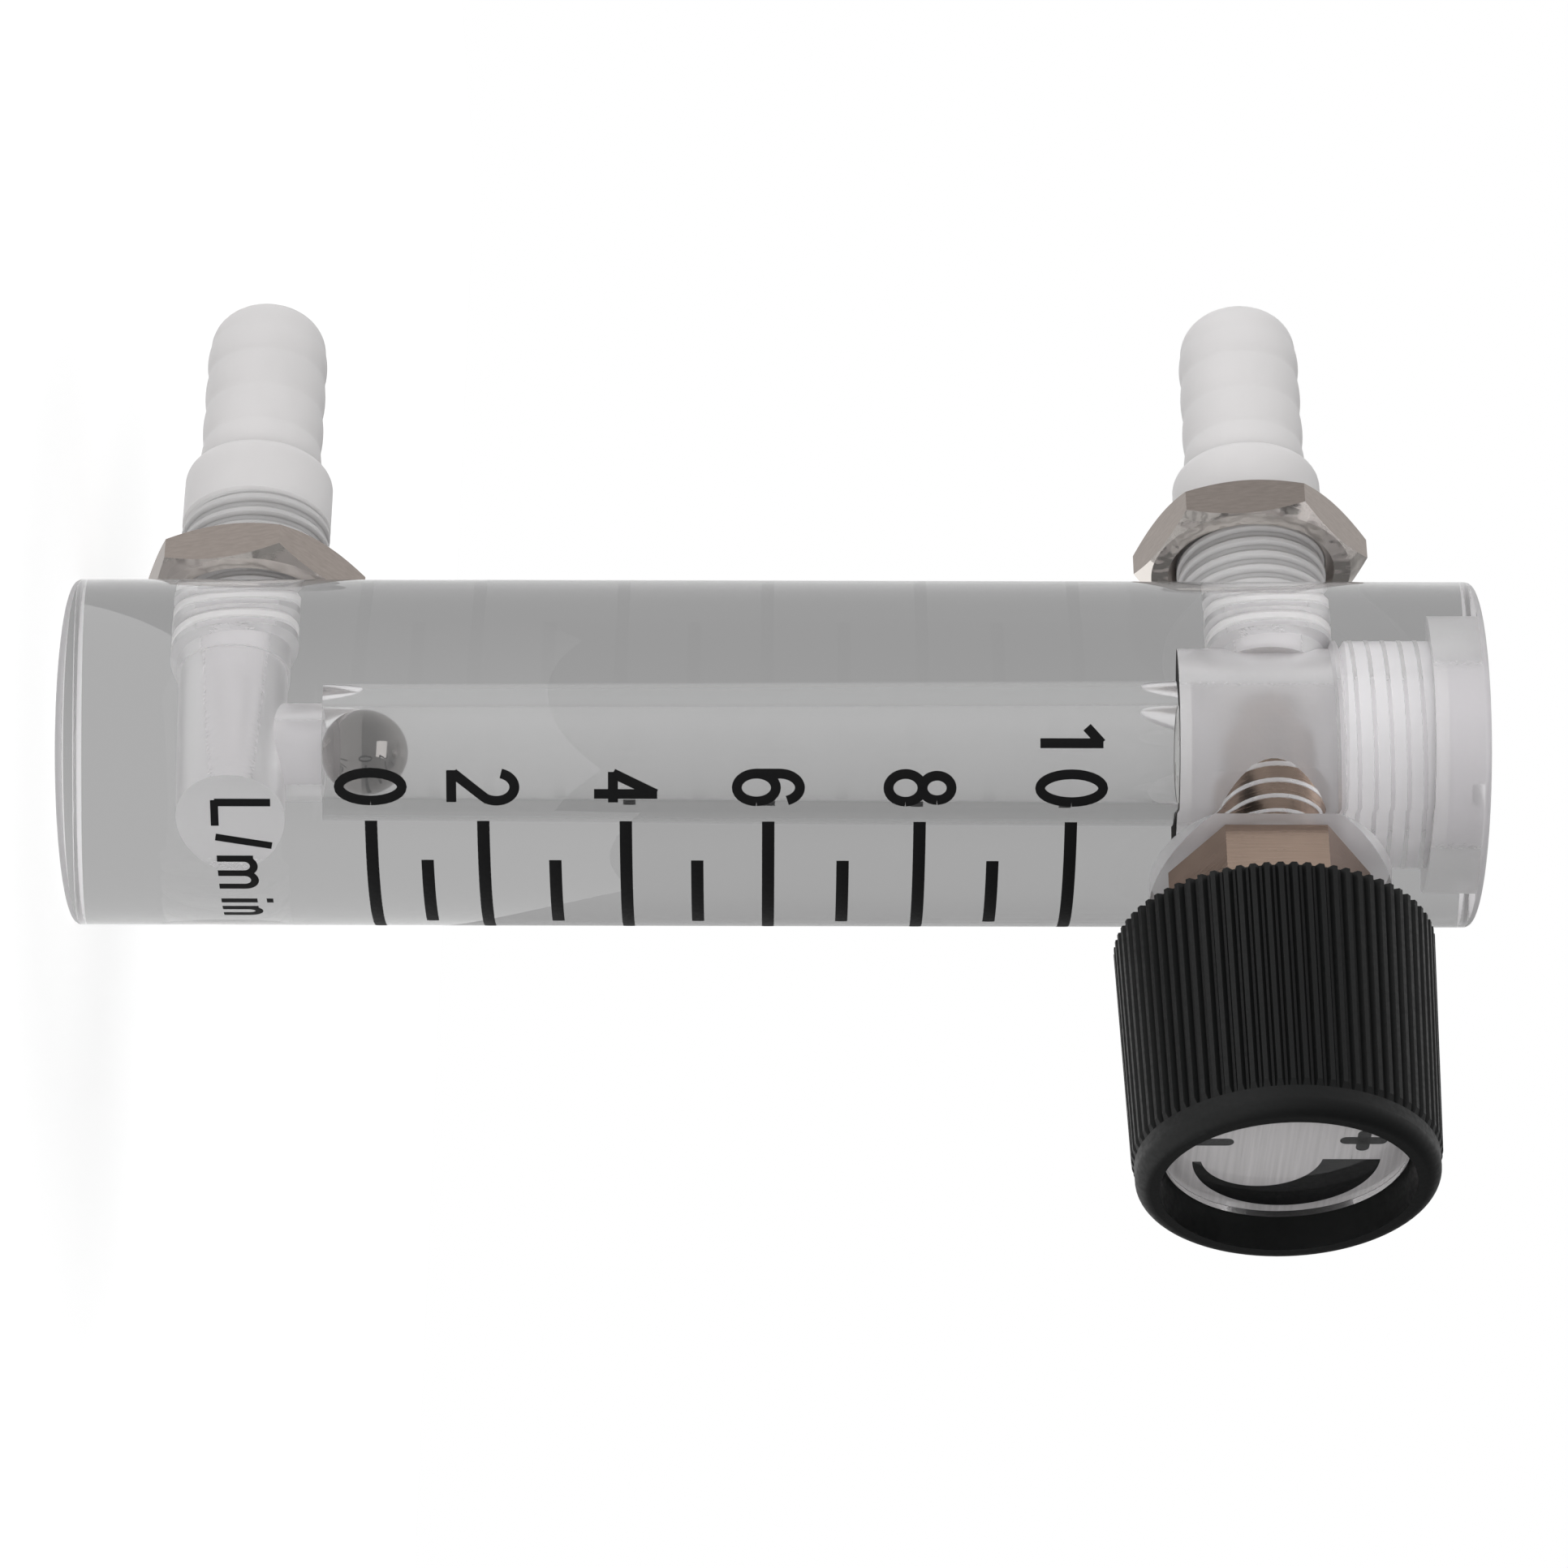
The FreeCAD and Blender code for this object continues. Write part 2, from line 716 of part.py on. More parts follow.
def valley(radius):
    """The groove between two ribs, across the first axis."""
    return [
        (f"{radius} - rib_depth", "- valley_floor / 2"),
        (f"{radius} + valley_margin", "- valley_width / 2"),
        (f"{radius} + valley_margin", "valley_width / 2"),
        (f"{radius} - rib_depth", "valley_floor / 2"),
    ]


def make_knob_insert():
    """The brass bush moulded into the knob's hub."""
    body = new_body("knob_insert")
    turned(body, "bush", [
        ("stem_radius + fit_gap", "hub_rear"),
        ("insert_radius", "hub_rear"),
        ("insert_radius", "insert_end"),
        ("stem_radius + fit_gap", "insert_end"),
    ])
    place_front(body)


def make_knob_screw():
    """The screw under the dial that holds the knob on the stem."""
    body = new_body("knob_screw")
    turned(body, "screw", [
        ("0", "screw_seat - screw_shank_length"),
        ("screw_shank_radius", "screw_seat - screw_shank_length"),
        ("screw_shank_radius", "screw_seat"),
        ("screw_head_radius", "screw_seat"),
        ("screw_head_radius", "screw_top"),
        ("0", "screw_top"),
    ])
    slot = new_sketch(body, "slot", "XY_Plane", "screw_top")
    outline(slot, slot_across("screw_slot_width", "screw_pocket_radius"))
    cut(body, "screw_slot", slot, "screw_slot_depth")
    place_front(body)


def make_knob_label():
    """The brushed metal disc of the dial."""
    body = new_body("knob_label")
    disc = new_sketch(body, "disc", "XY_Plane", "dial_floor")
    circle(disc, "dial_floor_radius - dial_gap")
    raised(body, "label_disc", disc, "label_thickness")
    place_front(body)


def make_knob_window():
    """The clear disc over the label, its front edge bevelled."""
    body = new_body("knob_window")
    rim = "dial_floor_radius - dial_gap"
    turned(body, "lens", [
        ("0", "window_rear"),
        (rim, "window_rear"),
        (rim, "window_front - window_bevel"),
        (f"{rim} - window_bevel", "window_front"),
        ("0", "window_front"),
    ])
    place_front(body)


make_flow_body()
make_float_ball()
make_ball_stop()
make_end_plug()
make_plug_gasket()
make_barb("lower_barb", "inlet_height")
make_barb("upper_barb", "outlet_height")
make_nut("lower_nut", "inlet_height", "lower_nut_lift", "lower_nut_turn")
make_nut("upper_nut", "outlet_height", "upper_nut_lift", "upper_nut_turn")
make_valve_body()
make_ring("valve_seal", "valve_tap_radius + seal_section", "seal_section", "seal_middle")
make_ring("tip_seal", "hose_bore_radius - fit_gap - tip_seal_section", "tip_seal_section", "tip_seal_middle")
make_valve_stem()
make_ring("stem_oring", "gland_radius - fit_gap - seal_section", "seal_section", "piston_middle")
make_stem_clip()
make_knob()
make_knob_insert()
make_knob_screw()
make_knob_label()
make_knob_window()
doc.recompute()

for item in doc.Objects:
    if "Invalid" in item.State or "Error" in item.State:
        raise RuntimeError(f"{item.Label} failed: {item.State}")

os.makedirs("parts", exist_ok=True)
for body in parts:
    shape = body.Shape
    if shape.isNull() or not shape.isValid() or len(shape.Solids) != 1:
        raise RuntimeError(f"{body.Label} is not one good solid")
    shape.exportStep(f"parts/{body.Label}.step")
    print(body.Label, round(shape.Volume, 2), "mm3", shape.BoundBox)
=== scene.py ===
import math

import bmesh
import bpy
from bpy.props import FloatProperty, FloatVectorProperty, IntProperty, PointerProperty
from mathutils import Matrix, Vector


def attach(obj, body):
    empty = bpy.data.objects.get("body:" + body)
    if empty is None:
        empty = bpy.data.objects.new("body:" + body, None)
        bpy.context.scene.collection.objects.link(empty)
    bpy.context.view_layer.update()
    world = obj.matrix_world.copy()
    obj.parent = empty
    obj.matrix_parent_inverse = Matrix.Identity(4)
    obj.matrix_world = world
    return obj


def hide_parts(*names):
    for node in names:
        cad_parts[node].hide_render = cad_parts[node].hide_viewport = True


# The looks of a clear acrylic oxygen flowmeter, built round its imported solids.
# +Z runs up the block, the knob faces -Y and the hose barbs point to +Y.

bl_info = {
    "name": "Oxygen Flowmeter",
    "version": (1, 0, 0),
    "blender": (4, 5, 0),
    "location": "View3D > Sidebar > Flowmeter",
    "description": "Builds the finishes, threads, printed scale and studio of a clear flowmeter",
    "category": "Add Mesh",
}

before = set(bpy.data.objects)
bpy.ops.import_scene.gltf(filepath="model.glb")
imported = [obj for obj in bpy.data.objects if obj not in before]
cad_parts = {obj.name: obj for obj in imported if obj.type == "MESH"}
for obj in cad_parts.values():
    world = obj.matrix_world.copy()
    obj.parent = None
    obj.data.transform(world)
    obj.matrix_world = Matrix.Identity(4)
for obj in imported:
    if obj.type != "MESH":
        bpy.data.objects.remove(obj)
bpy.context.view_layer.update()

MM = 0.001
UP = Vector((0, 0, 1))
WHITE = (1, 1, 1, 1)
# Turns a piece that was made upright so that its top points to the back, or to the front.
TO_BACK = Matrix.Rotation(-math.pi / 2, 4, "X")
TO_FRONT = Matrix.Rotation(math.pi / 2, 4, "X")
# A Mix node's colour result comes after its number and its vector.
MIXED_COLOUR = 2
ACRYLIC_INDEX = 1.49
# Facets round a barb and round each cross hole.
ROUND_FACETS = 96
# How far a screw's solid core reaches under its thread's root, so that the two overlap.
CORE_OVERLAP = 0.1 * MM
# Points nearer than this are one, and edges shorter than the second are dropped.
WELD = 1e-3 * MM
SLIVER = 1e-4 * MM


def size(name, millimetres, description):
    return FloatProperty(
        name=name, description=description, default=millimetres * MM, unit="LENGTH", precision=5
    )


def linear(code):
    """A linear colour from an sRGB hex code such as 8A8C90."""
    parts = [int(code[place:place + 2], 16) / 255 for place in (0, 2, 4)]
    return [part / 12.92 if part <= 0.04045 else ((part + 0.055) / 1.055) ** 2.4
            for part in parts]


def colour(name, code, description):
    return FloatVectorProperty(
        name=name, description=description, default=linear(code), subtype="COLOR", size=3
    )


class BlockSizes(bpy.types.PropertyGroup):
    """The acrylic block and the holes in it."""
    radius: size("Radius", 10.0, "Radius of the turned bar")
    length: size("Length", 80.6, "Length of the block")
    facets: IntProperty(name="Facets", default=160, min=16, description="Facets round the block")
    edge: size("Edge", 0.4, "Rounding of both ends")
    inlet_z: size("Inlet height", 9.5, "Height of the lower cross hole")
    outlet_z: size("Outlet height", 68.6, "Height of the upper cross hole and the valve")
    feed_radius: size("Feed radius", 1.9, "Hole between the inlet and the bore")
    bore_floor: size("Bore floor", 14.7, "Lower end of the float's bore")
    bore_low: size("Bore radius below", 2.65, "Radius of the bore at its floor")
    bore_high: size("Bore radius above", 2.85, "Radius of the bore at its stop")
    chamber_floor: size("Chamber floor", 63.3, "Where the valve's chamber starts")
    chamber_radius: size("Chamber radius", 4.1, "Radius of the valve's chamber")
    plug_start: size("Plug thread start", 72.35, "Where the plug's thread starts")
    plug_radius: size("Plug thread radius", 4.42, "Radius over the plug's thread")
    sink_depth: size("Counterbore depth", 2.9, "Recess for the plug's head")
    sink_radius: size("Counterbore radius", 5.35, "Radius of the recess")
    spot_floor: size("Spot-face floor", 8.05, "Distance of the flats from the axis")
    back_spot: size("Back spot-face radius", 7.2, "Flat under each barb")
    front_spot: size("Front spot-face radius", 6.9, "Flat under the valve")
    barb_tap: size("Barb thread radius", 3.66, "Threaded holes for the barbs")
    barb_tap_end: size("Barb thread end", 3.2, "Where the barbs' threaded holes end")
    inlet_radius: size("Inlet radius", 3.1, "Plain part of the inlet")
    inlet_reach: size("Inlet reach", 3.4, "Blind end of the inlet, past the axis")
    valve_tap: size("Valve thread radius", 3.32, "Threaded hole for the valve")
    seal_radius: size("Seal groove radius", 4.28, "Mouth for the valve's black ring")
    seal_depth: size("Seal groove depth", 0.8, "Depth of that mouth")


class ThreadSizes(bpy.types.PropertyGroup):
    """The screw threads, whose helices the solids leave plain."""
    depth: size("Thread depth", 0.42, "From crest to root")
    stud_pitch: size("Stud pitch", 1.0, "Pitch on the barbs' studs")
    stud_depth: size("Stud depth", 0.16, "Depth of the studs' soft, shallow thread")
    spigot_pitch: size("Spigot pitch", 1.0, "Pitch inside the block's cross holes")
    plug_pitch: size("Plug pitch", 0.93, "Pitch of the end plug")
    valve_pitch: size("Valve pitch", 0.95, "Pitch of the valve's nose")
    stud_top: size("Stud thread end", 16.0, "How far out the stud is threaded")
    gap: size("Thread play", 0.03, "Between a screw and its hole")


class BarbSizes(bpy.types.PropertyGroup):
    """The hose barbs."""
    spigot_end: size("Spigot end", 3.4, "Inner end, from the block's axis")
    stud_radius: size("Stud radius", 4.4, "Radius of the stud and its collar")
    collar_top: size("Collar top", 19.8, "Outer end of the collar")
    collar_round: size("Collar rounding", 0.7, "Radius of the collar's shoulder")
    collar_swell: size("Collar swell", 0.203, "How far the shoulder stands out of its chord")
    bore: size("Bore radius", 1.75, "Hole through the barb")
    root: size("Ring root radius", 3.49, "Radius in the notches")
    swell: size("Ring swell", 0.13, "How far a ring bulges past its notches")
    first_notch: size("First notch", 21.95, "Middle of the lowest notch")
    notch_pitch: size("Notch pitch", 2.65, "From notch to notch")
    dome_start: size("Dome start", 29.3, "Where the rounded end starts")
    tip: size("Tip", 31.4, "Outer end")
    tip_radius: size("Tip radius", 2.35, "Flat rim round the bore")
    dome_swell: size("Dome swell", 0.34, "Roundness of the end")


class ScaleSizes(bpy.types.PropertyGroup):
    """The scale printed on the block."""
    stroke: size("Figure stroke", 0.56, "Line width of the figures")
    tick: size("Tick width", 0.7, "Line width of the ticks")
    film: size("Ink film", 0.02, "Thickness of the ink")
    figure_height: size("Figure height", 4.1, "Height of the numbers")
    figure_width: size("Figure width", 2.15, "Width of the numbers")
    letter_stroke: size("Letter stroke", 0.45, "Line width of the unit")
    one_width: size("One width", 1.47, "Width of the 1 in 10")
    letter_height: size("Letter height", 3.6, "Height of the capital in the unit")
    lower_height: size("Small letter height", 2.5, "Height of the small letters")
    long_reach: FloatProperty(name="Long tick", default=math.radians(33.2), subtype="ANGLE",
                              description="Reach of a long tick to each side of the front")
    short_reach: FloatProperty(name="Short tick", default=math.radians(18.5), subtype="ANGLE",
                               description="Reach of a short tick to each side of the front")
    figure_side: FloatProperty(name="Figure side", default=math.radians(50.8), subtype="ANGLE",
                               description="Left edge of the numbers, from the front")
    ten_side: FloatProperty(name="Ten side", default=math.radians(66.0), subtype="ANGLE",
                            description="Left edge of the 1 in 10, from the front")


class DialSizes(bpy.types.PropertyGroup):
    """The marks printed on the knob's dial."""
    plane: size("Dial plane", 26.05, "Distance of the label's face from the block's axis")
    film: size("Dial ink film", 0.012, "Thickness of the dial's ink")
    bar: size("Bar width", 0.74, "Line width of the minus and the plus")
    bar_half: size("Bar half length", 1.3, "Half the length of the minus and the plus")
    plus_half: size("Plus half height", 1.1, "Half the height of the plus")
    minus_side: size("Minus place", -4.26, "Minus from the knob's axis, along the block")
    minus_drop: size("Minus drop", -0.9, "Minus from the knob's axis, across the block")
    plus_side: size("Plus place", 4.15, "Plus from the knob's axis, along the block")
    plus_drop: size("Plus drop", -1.1, "Plus from the knob's axis, across the block")
    outer_radius: size("Crescent radius", 5.2, "Radius of the crescent's outer edge")
    outer_side: size("Crescent place", 0.07, "Middle of the outer edge, along the block")
    outer_drop: size("Crescent drop", 0.9, "Middle of the outer edge, across the block")
    inner_radius: size("Crescent inner radius", 3.4, "Radius of the crescent's inner edge")
    inner_side: size("Crescent inner place", -1.3, "Middle of the inner edge, along the block")
    inner_drop: size("Crescent inner drop", 0.55, "Middle of the inner edge, across the block")


class Finishes(bpy.types.PropertyGroup):
    """Colours that a user may want to change."""
    ink: colour("Ink", "0C0C0D", "Printed scale")
    nylon: colour("Nylon", "E4E2E2", "Hose barbs")
    nickel: colour("Nickel", "9A918B", "Panel nuts")
    valve: colour("Valve nickel", "B59F90", "Needle valve")
    knob: colour("Knob", "0E0F0F", "Knob's moulding")
    label: colour("Label", "C8C5C6", "Dial on the knob")
    # Painted shade: the grey that tints light leaving the block's far side, standing in for the
    # shade seen through the block.
    far_side_shade: FloatProperty(name="Far side", default=0.16, min=0, max=1,
                            description="How much light the far side of the block lets in")


class StudioSizes(bpy.types.PropertyGroup):
    """The camera of the picture, the room and the floor."""
    lens: FloatProperty(name="Lens", default=120.92, description="Focal length on 36 mm", min=1)
    room: FloatProperty(name="Room", default=0.32, min=0, description="Light of the room")
    board: FloatProperty(name="Board", default=0.2, min=0, description="The floor's own light")
    board_near: FloatProperty(name="Board near", default=0.4, min=0,
                              description="What the camera sees on top of it, at the object")
    board_far: FloatProperty(name="Board far", default=0.6, min=0,
                             description="What the camera sees on top of it, away from it")


def props():
    return bpy.context.scene.flowmeter


class Flowmeter(bpy.types.PropertyGroup):
    """Every setting of the flowmeter."""
    block: PointerProperty(type=BlockSizes)
    thread: PointerProperty(type=ThreadSizes)
    barb: PointerProperty(type=BarbSizes)
    scale: PointerProperty(type=ScaleSizes)
    dial: PointerProperty(type=DialSizes)
    finish: PointerProperty(type=Finishes)
    studio: PointerProperty(type=StudioSizes)


def node(tree, kind, inputs=None, links=None, **settings):
    """Adds a node. inputs sets socket values and links joins (node, output) to sockets."""
    made = tree.nodes.new(kind)
    for name, setting in settings.items():
        setattr(made, name, setting)
    for name, setting in (inputs or {}).items():
        made.inputs[name].default_value = setting
    for name, (source, output) in (links or {}).items():
        tree.links.new(source.outputs[output], made.inputs[name])
    return made


def new_material(name):
    """An empty material: its tree and its output node."""
    material = bpy.data.materials.new(name)
    material.use_nodes = True
    material.node_tree.nodes.clear()
    output = node(material.node_tree, "ShaderNodeOutputMaterial")
    return material, material.node_tree, output


def surface(tree, output, shader):
    tree.links.new(shader.outputs[0], output.inputs["Surface"])


def opaque(shade):
    return (shade[0], shade[1], shade[2], 1)


def finish_object(name, bm, body, material, smooth=30):
    """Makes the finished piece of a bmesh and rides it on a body.

    Edges that turn by more than smooth degrees stay sharp.
    """
    mesh = bpy.data.meshes.new(name)
    bm.to_mesh(mesh)
    bm.free()
    mesh.shade_smooth()
    mesh.set_sharp_from_angle(angle=math.radians(smooth))
    piece = bpy.data.objects.new(name, mesh)
    bpy.context.scene.collection.objects.link(piece)
    mesh.materials.append(material)
    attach(piece, body)
    return piece


def arc(start, end, swell, steps=6):
    """Points from start up to, and without, end on a shallow curve that bulges by swell."""
    start = Vector(start)
    end = Vector(end)
    chord = end - start
    side = Vector((chord.y, -chord.x)).normalized()
    points = []
    for step in range(steps):
        share = step / steps
        points.append(tuple(start + chord * share + side * swell * 4 * share * (1 - share)))
    return points


def lathe(outline, steps, closed=True):
    """A solid turned about Z from (radius, height) points. An open outline ends on the axis."""
    bm = bmesh.new()
    points = [bm.verts.new((radius, 0, height)) for radius, height in outline]
    edges = [bm.edges.new(pair) for pair in zip(points, points[1:])]
    if closed:
        edges.append(bm.edges.new((points[-1], points[0])))
    bmesh.ops.spin(
        bm, geom=points + edges, cent=(0, 0, 0), axis=UP, dvec=(0, 0, 0),
        angle=2 * math.pi, steps=steps, use_merge=True, use_duplicate=False,
    )
    bmesh.ops.remove_doubles(bm, verts=bm.verts, dist=WELD)
    bmesh.ops.dissolve_degenerate(bm, edges=bm.edges, dist=SLIVER)
    bmesh.ops.recalc_face_normals(bm, faces=bm.faces)
    return bm


def screw(root, crest, pitch, start, end, steps=48):
    """A threaded rod along Z: one tooth carried round and up, its ends filled."""
    turns = max(2, round((end - start) / pitch) - 1)
    bm = bmesh.new()
    # The tooth's section: radius, and height as a share of the pitch.
    tooth = [(root, 0), (root, 0.12), (crest, 0.44), (crest, 0.68), (root, 1)]
    points = [bm.verts.new((radius, 0, start + share * pitch)) for radius, share in tooth]
    edges = [bm.edges.new(pair) for pair in zip(points, points[1:])]
    bmesh.ops.spin(
        bm, geom=points + edges, cent=(0, 0, 0), axis=UP, dvec=(0, 0, pitch / steps),
        angle=2 * math.pi * turns, steps=steps * turns, use_merge=False, use_duplicate=False,
    )
    bmesh.ops.remove_doubles(bm, verts=bm.verts, dist=WELD)
    bmesh.ops.holes_fill(bm, edges=bm.edges, sides=0)
    bmesh.ops.triangulate(bm, faces=[face for face in bm.faces if len(face.verts) > 4])
    bmesh.ops.recalc_face_normals(bm, faces=bm.faces)
    return bm


def join(target, source):
    """Adds one bmesh to another and frees it."""
    scratch = bpy.data.meshes.new("scratch")
    source.to_mesh(scratch)
    source.free()
    target.from_mesh(scratch)
    bpy.data.meshes.remove(scratch)


def cut(bm, cutters):
    """Takes the solids of a list of bmeshes out of a bmesh."""
    base = scratch_object(bm)
    tools = [scratch_object(cutter) for cutter in cutters]
    for tool in tools:
        change = base.modifiers.new("cut", "BOOLEAN")
        change.operation = "DIFFERENCE"
        change.solver = "MANIFOLD"
        change.object = tool
    ready = base.evaluated_get(bpy.context.evaluated_depsgraph_get())
    mesh = bpy.data.meshes.new_from_object(ready)
    result = bmesh.new()
    result.from_mesh(mesh)
    bpy.data.meshes.remove(mesh)
    for item in [base, *tools]:
        data = item.data
        bpy.data.objects.remove(item)
        bpy.data.meshes.remove(data)
    return result


def scratch_object(bm):
    mesh = bpy.data.meshes.new("scratch")
    bm.to_mesh(mesh)
    bm.free()
    item = bpy.data.objects.new("scratch", mesh)
    bpy.context.scene.collection.objects.link(item)
    return item


def at(matrix, height, bm):
    """Moves a bmesh made upright to a cross hole at a height."""
    bmesh.ops.transform(bm, matrix=Matrix.Translation((0, 0, height)) @ matrix, verts=bm.verts)
    return bm


def rod(radius, start, end, steps):
    return lathe([(0, start), (radius, start), (radius, end), (0, end)], steps, closed=False)


def per(length):
    """The scale of a pattern whose marks are so many millimetres long."""
    return 1 / (length * MM)


def acrylic(name, roughness, far_side_shade, clearness=1.0, index=ACRYLIC_INDEX):
    """Cast acrylic: clear towards the eye, with painted shade, a grey tint where light leaves it
    on the far side.
    """
    material, tree, output = new_material(name)
    sides = node(tree, "ShaderNodeNewGeometry")
    path = node(tree, "ShaderNodeLightPath")
    # The painted grey stays off the room's light that the white pieces inside gather, so they stay
    # bright.
    direct = node(tree, "ShaderNodeMath", {1: 0.5}, {0: (path, "Diffuse Depth")},
                  operation="LESS_THAN")
    leaving = node(tree, "ShaderNodeMath", None,
                   {0: (sides, "Backfacing"), 1: (direct, "Value")}, operation="MULTIPLY")
    # Painted shade: faces seen from behind tint the light that leaves through them grey.
    painted_shade_tint = node(tree, "ShaderNodeMix", {"A": WHITE, "B": opaque([far_side_shade] * 3)},
                {"Factor": (leaving, "Value")}, data_type="RGBA")
    # Polishing leaves waves of a few millimetres, too low to feel.
    place = node(tree, "ShaderNodeTexCoord")
    waves = node(tree, "ShaderNodeTexNoise", {"Scale": per(4.545), "Detail": 2.0},
                 {"Vector": (place, "Object")})
    bump = node(tree, "ShaderNodeBump", {"Strength": 0.3, "Distance": 0.003 * MM},
                {"Height": (waves, "Fac")})
    glass = node(tree, "ShaderNodeBsdfPrincipled", {
        "Roughness": roughness, "IOR": index, "Transmission Weight": clearness,
    }, {"Base Color": (painted_shade_tint, MIXED_COLOUR), "Normal": (bump, "Normal")})
    lit_through(tree, output, glass)
    return material


def lit_through(tree, output, glass):
    """Lets the lamps reach what stands inside a clear piece."""
    path = node(tree, "ShaderNodeLightPath")
    open_way = node(tree, "ShaderNodeBsdfTransparent")
    mix = node(tree, "ShaderNodeMixShader", None,
               {"Fac": (path, "Is Shadow Ray"), 1: (glass, 0), 2: (open_way, 0)})
    surface(tree, output, mix)


def shades(shade, darker, brighter):
    """The two ends of a colour's play, as a Mix node's A and B."""
    return {
        "A": opaque([part * darker for part in shade]),
        "B": opaque([min(part * brighter, 1) for part in shade]),
    }


def worked(name, shade, roughness, grain, relief, uneven=0.1, streaked=False, **more):
    """A surface with its own grain: the grain's size along X, Y and Z and its relief are in mm.

    The grain gives the relief and breaks up the gloss. Broad soft patches shift the colour, or
    the grain itself does on a streaked surface. more sets other sockets of the shader.
    """
    material, tree, output = new_material(name)
    place = node(tree, "ShaderNodeTexCoord")
    laid = node(tree, "ShaderNodeMapping", {"Scale": [per(length) for length in grain]},
                {"Vector": (place, "Object")})
    marks = node(tree, "ShaderNodeTexNoise", {"Scale": 1.0, "Detail": 4.0},
                 {"Vector": (laid, "Vector")})
    bump = node(tree, "ShaderNodeBump", {"Strength": 0.5, "Distance": relief * MM},
                {"Height": (marks, "Fac")})
    gloss = node(tree, "ShaderNodeMapRange", {
        "From Min": 0.3, "From Max": 0.7,
        "To Min": roughness * (1 - uneven), "To Max": roughness * (1 + uneven),
    }, {"Value": (marks, "Fac")})
    patches = node(tree, "ShaderNodeTexNoise", {"Scale": per(4), "Detail": 2.0},
                   {"Vector": (place, "Object")})
    tone = node(tree, "ShaderNodeMix", shades(shade, 1 - uneven, 1 + uneven),
                {"Factor": (marks if streaked else patches, "Fac")}, data_type="RGBA")
    inputs = {key.replace("_", " "): setting for key, setting in more.items()}
    shader = node(tree, "ShaderNodeBsdfPrincipled", inputs, {
        "Base Color": (tone, MIXED_COLOUR), "Roughness": (gloss, "Result"),
        "Normal": (bump, "Normal"),
    })
    surface(tree, output, shader)
    return material


def ink():
    """Screen-printed ink: dense black, its film a little uneven, which softens its gloss."""
    return worked("printed_ink", props().finish.ink, roughness=0.6, grain=(0.25, 0.25, 0.25),
                  relief=0.004, Specular_IOR_Level=0.2)


def moulded_nylon():
    """Injection-moulded natural nylon: milky white, with light that goes a little way in."""
    return worked("moulded_nylon", props().finish.nylon, roughness=0.4, grain=(1.2, 1.2, 1.2),
                  relief=0.03, uneven=0.04, Subsurface_Weight=0.6,
                  Subsurface_Radius=(1.0, 1.0, 1.0), Subsurface_Scale=1.2 * MM)


def milky_nylon():
    """Unfilled nylon: milky white, with some of the light going through."""
    return worked("moulded_milky_nylon", linear("F8F6F8"), roughness=0.3, grain=(0.8, 0.8, 0.8),
                  relief=0.02, uneven=0.03, Transmission_Weight=0.15, IOR=1.5)


def moulded_black():
    """Moulded black nylon: near black with the fine satin skin of a spark-eroded mould."""
    return worked("moulded_black", props().finish.knob, roughness=0.5, grain=(0.3, 0.3, 0.3),
                  relief=0.012, uneven=0.15, Specular_IOR_Level=0.3)


def silicone():
    """Pressed white silicone: a dull even skin."""
    return worked("white_silicone", linear("F8F7F7"), roughness=0.5, grain=(0.3, 0.3, 0.3),
                  relief=0.01, uneven=0.04)


def acetal():
    """Moulded white acetal: a waxy skin."""
    return worked("moulded_acetal", linear("D8D8D6"), roughness=0.35, grain=(0.6, 0.6, 0.6),
                  relief=0.01, uneven=0.05)


def rubber():
    """Moulded black rubber: dull and even."""
    return worked("black_rubber", linear("0E0E0E"), roughness=0.6, grain=(0.4, 0.4, 0.4),
                  relief=0.01)


def turned(name, code):
    """Metal from the lathe: fine rings round the valve's axis."""
    return worked(name, linear(code), roughness=0.3, grain=(2.0, 0.1, 2.0), relief=0.01,
                  Metallic=1.0)


def turned_nickel():
    """Nickel over turned brass: a warm metal with fine rings round the valve's axis."""
    return worked("turned_nickel", props().finish.valve, roughness=0.24, grain=(2.5, 0.12, 2.5),
                  relief=0.02, uneven=0.2, Metallic=1.0)


def lapped_steel():
    """A lapped bearing ball: bright steel whose polish softens what it mirrors."""
    return worked("lapped_steel", linear("9C9896"), roughness=0.05, grain=(0.4, 0.4, 0.4),
                  relief=0.002, uneven=0.05, Metallic=1.0)


def brushed_label():
    """Brushed aluminium: a grey disc with dark streaks that all run across the block."""
    return worked("brushed_aluminium", props().finish.label, roughness=0.42,
                  grain=(9.0, 0.3, 0.22), relief=0.03, uneven=0.35, streaked=True, Metallic=0.2)


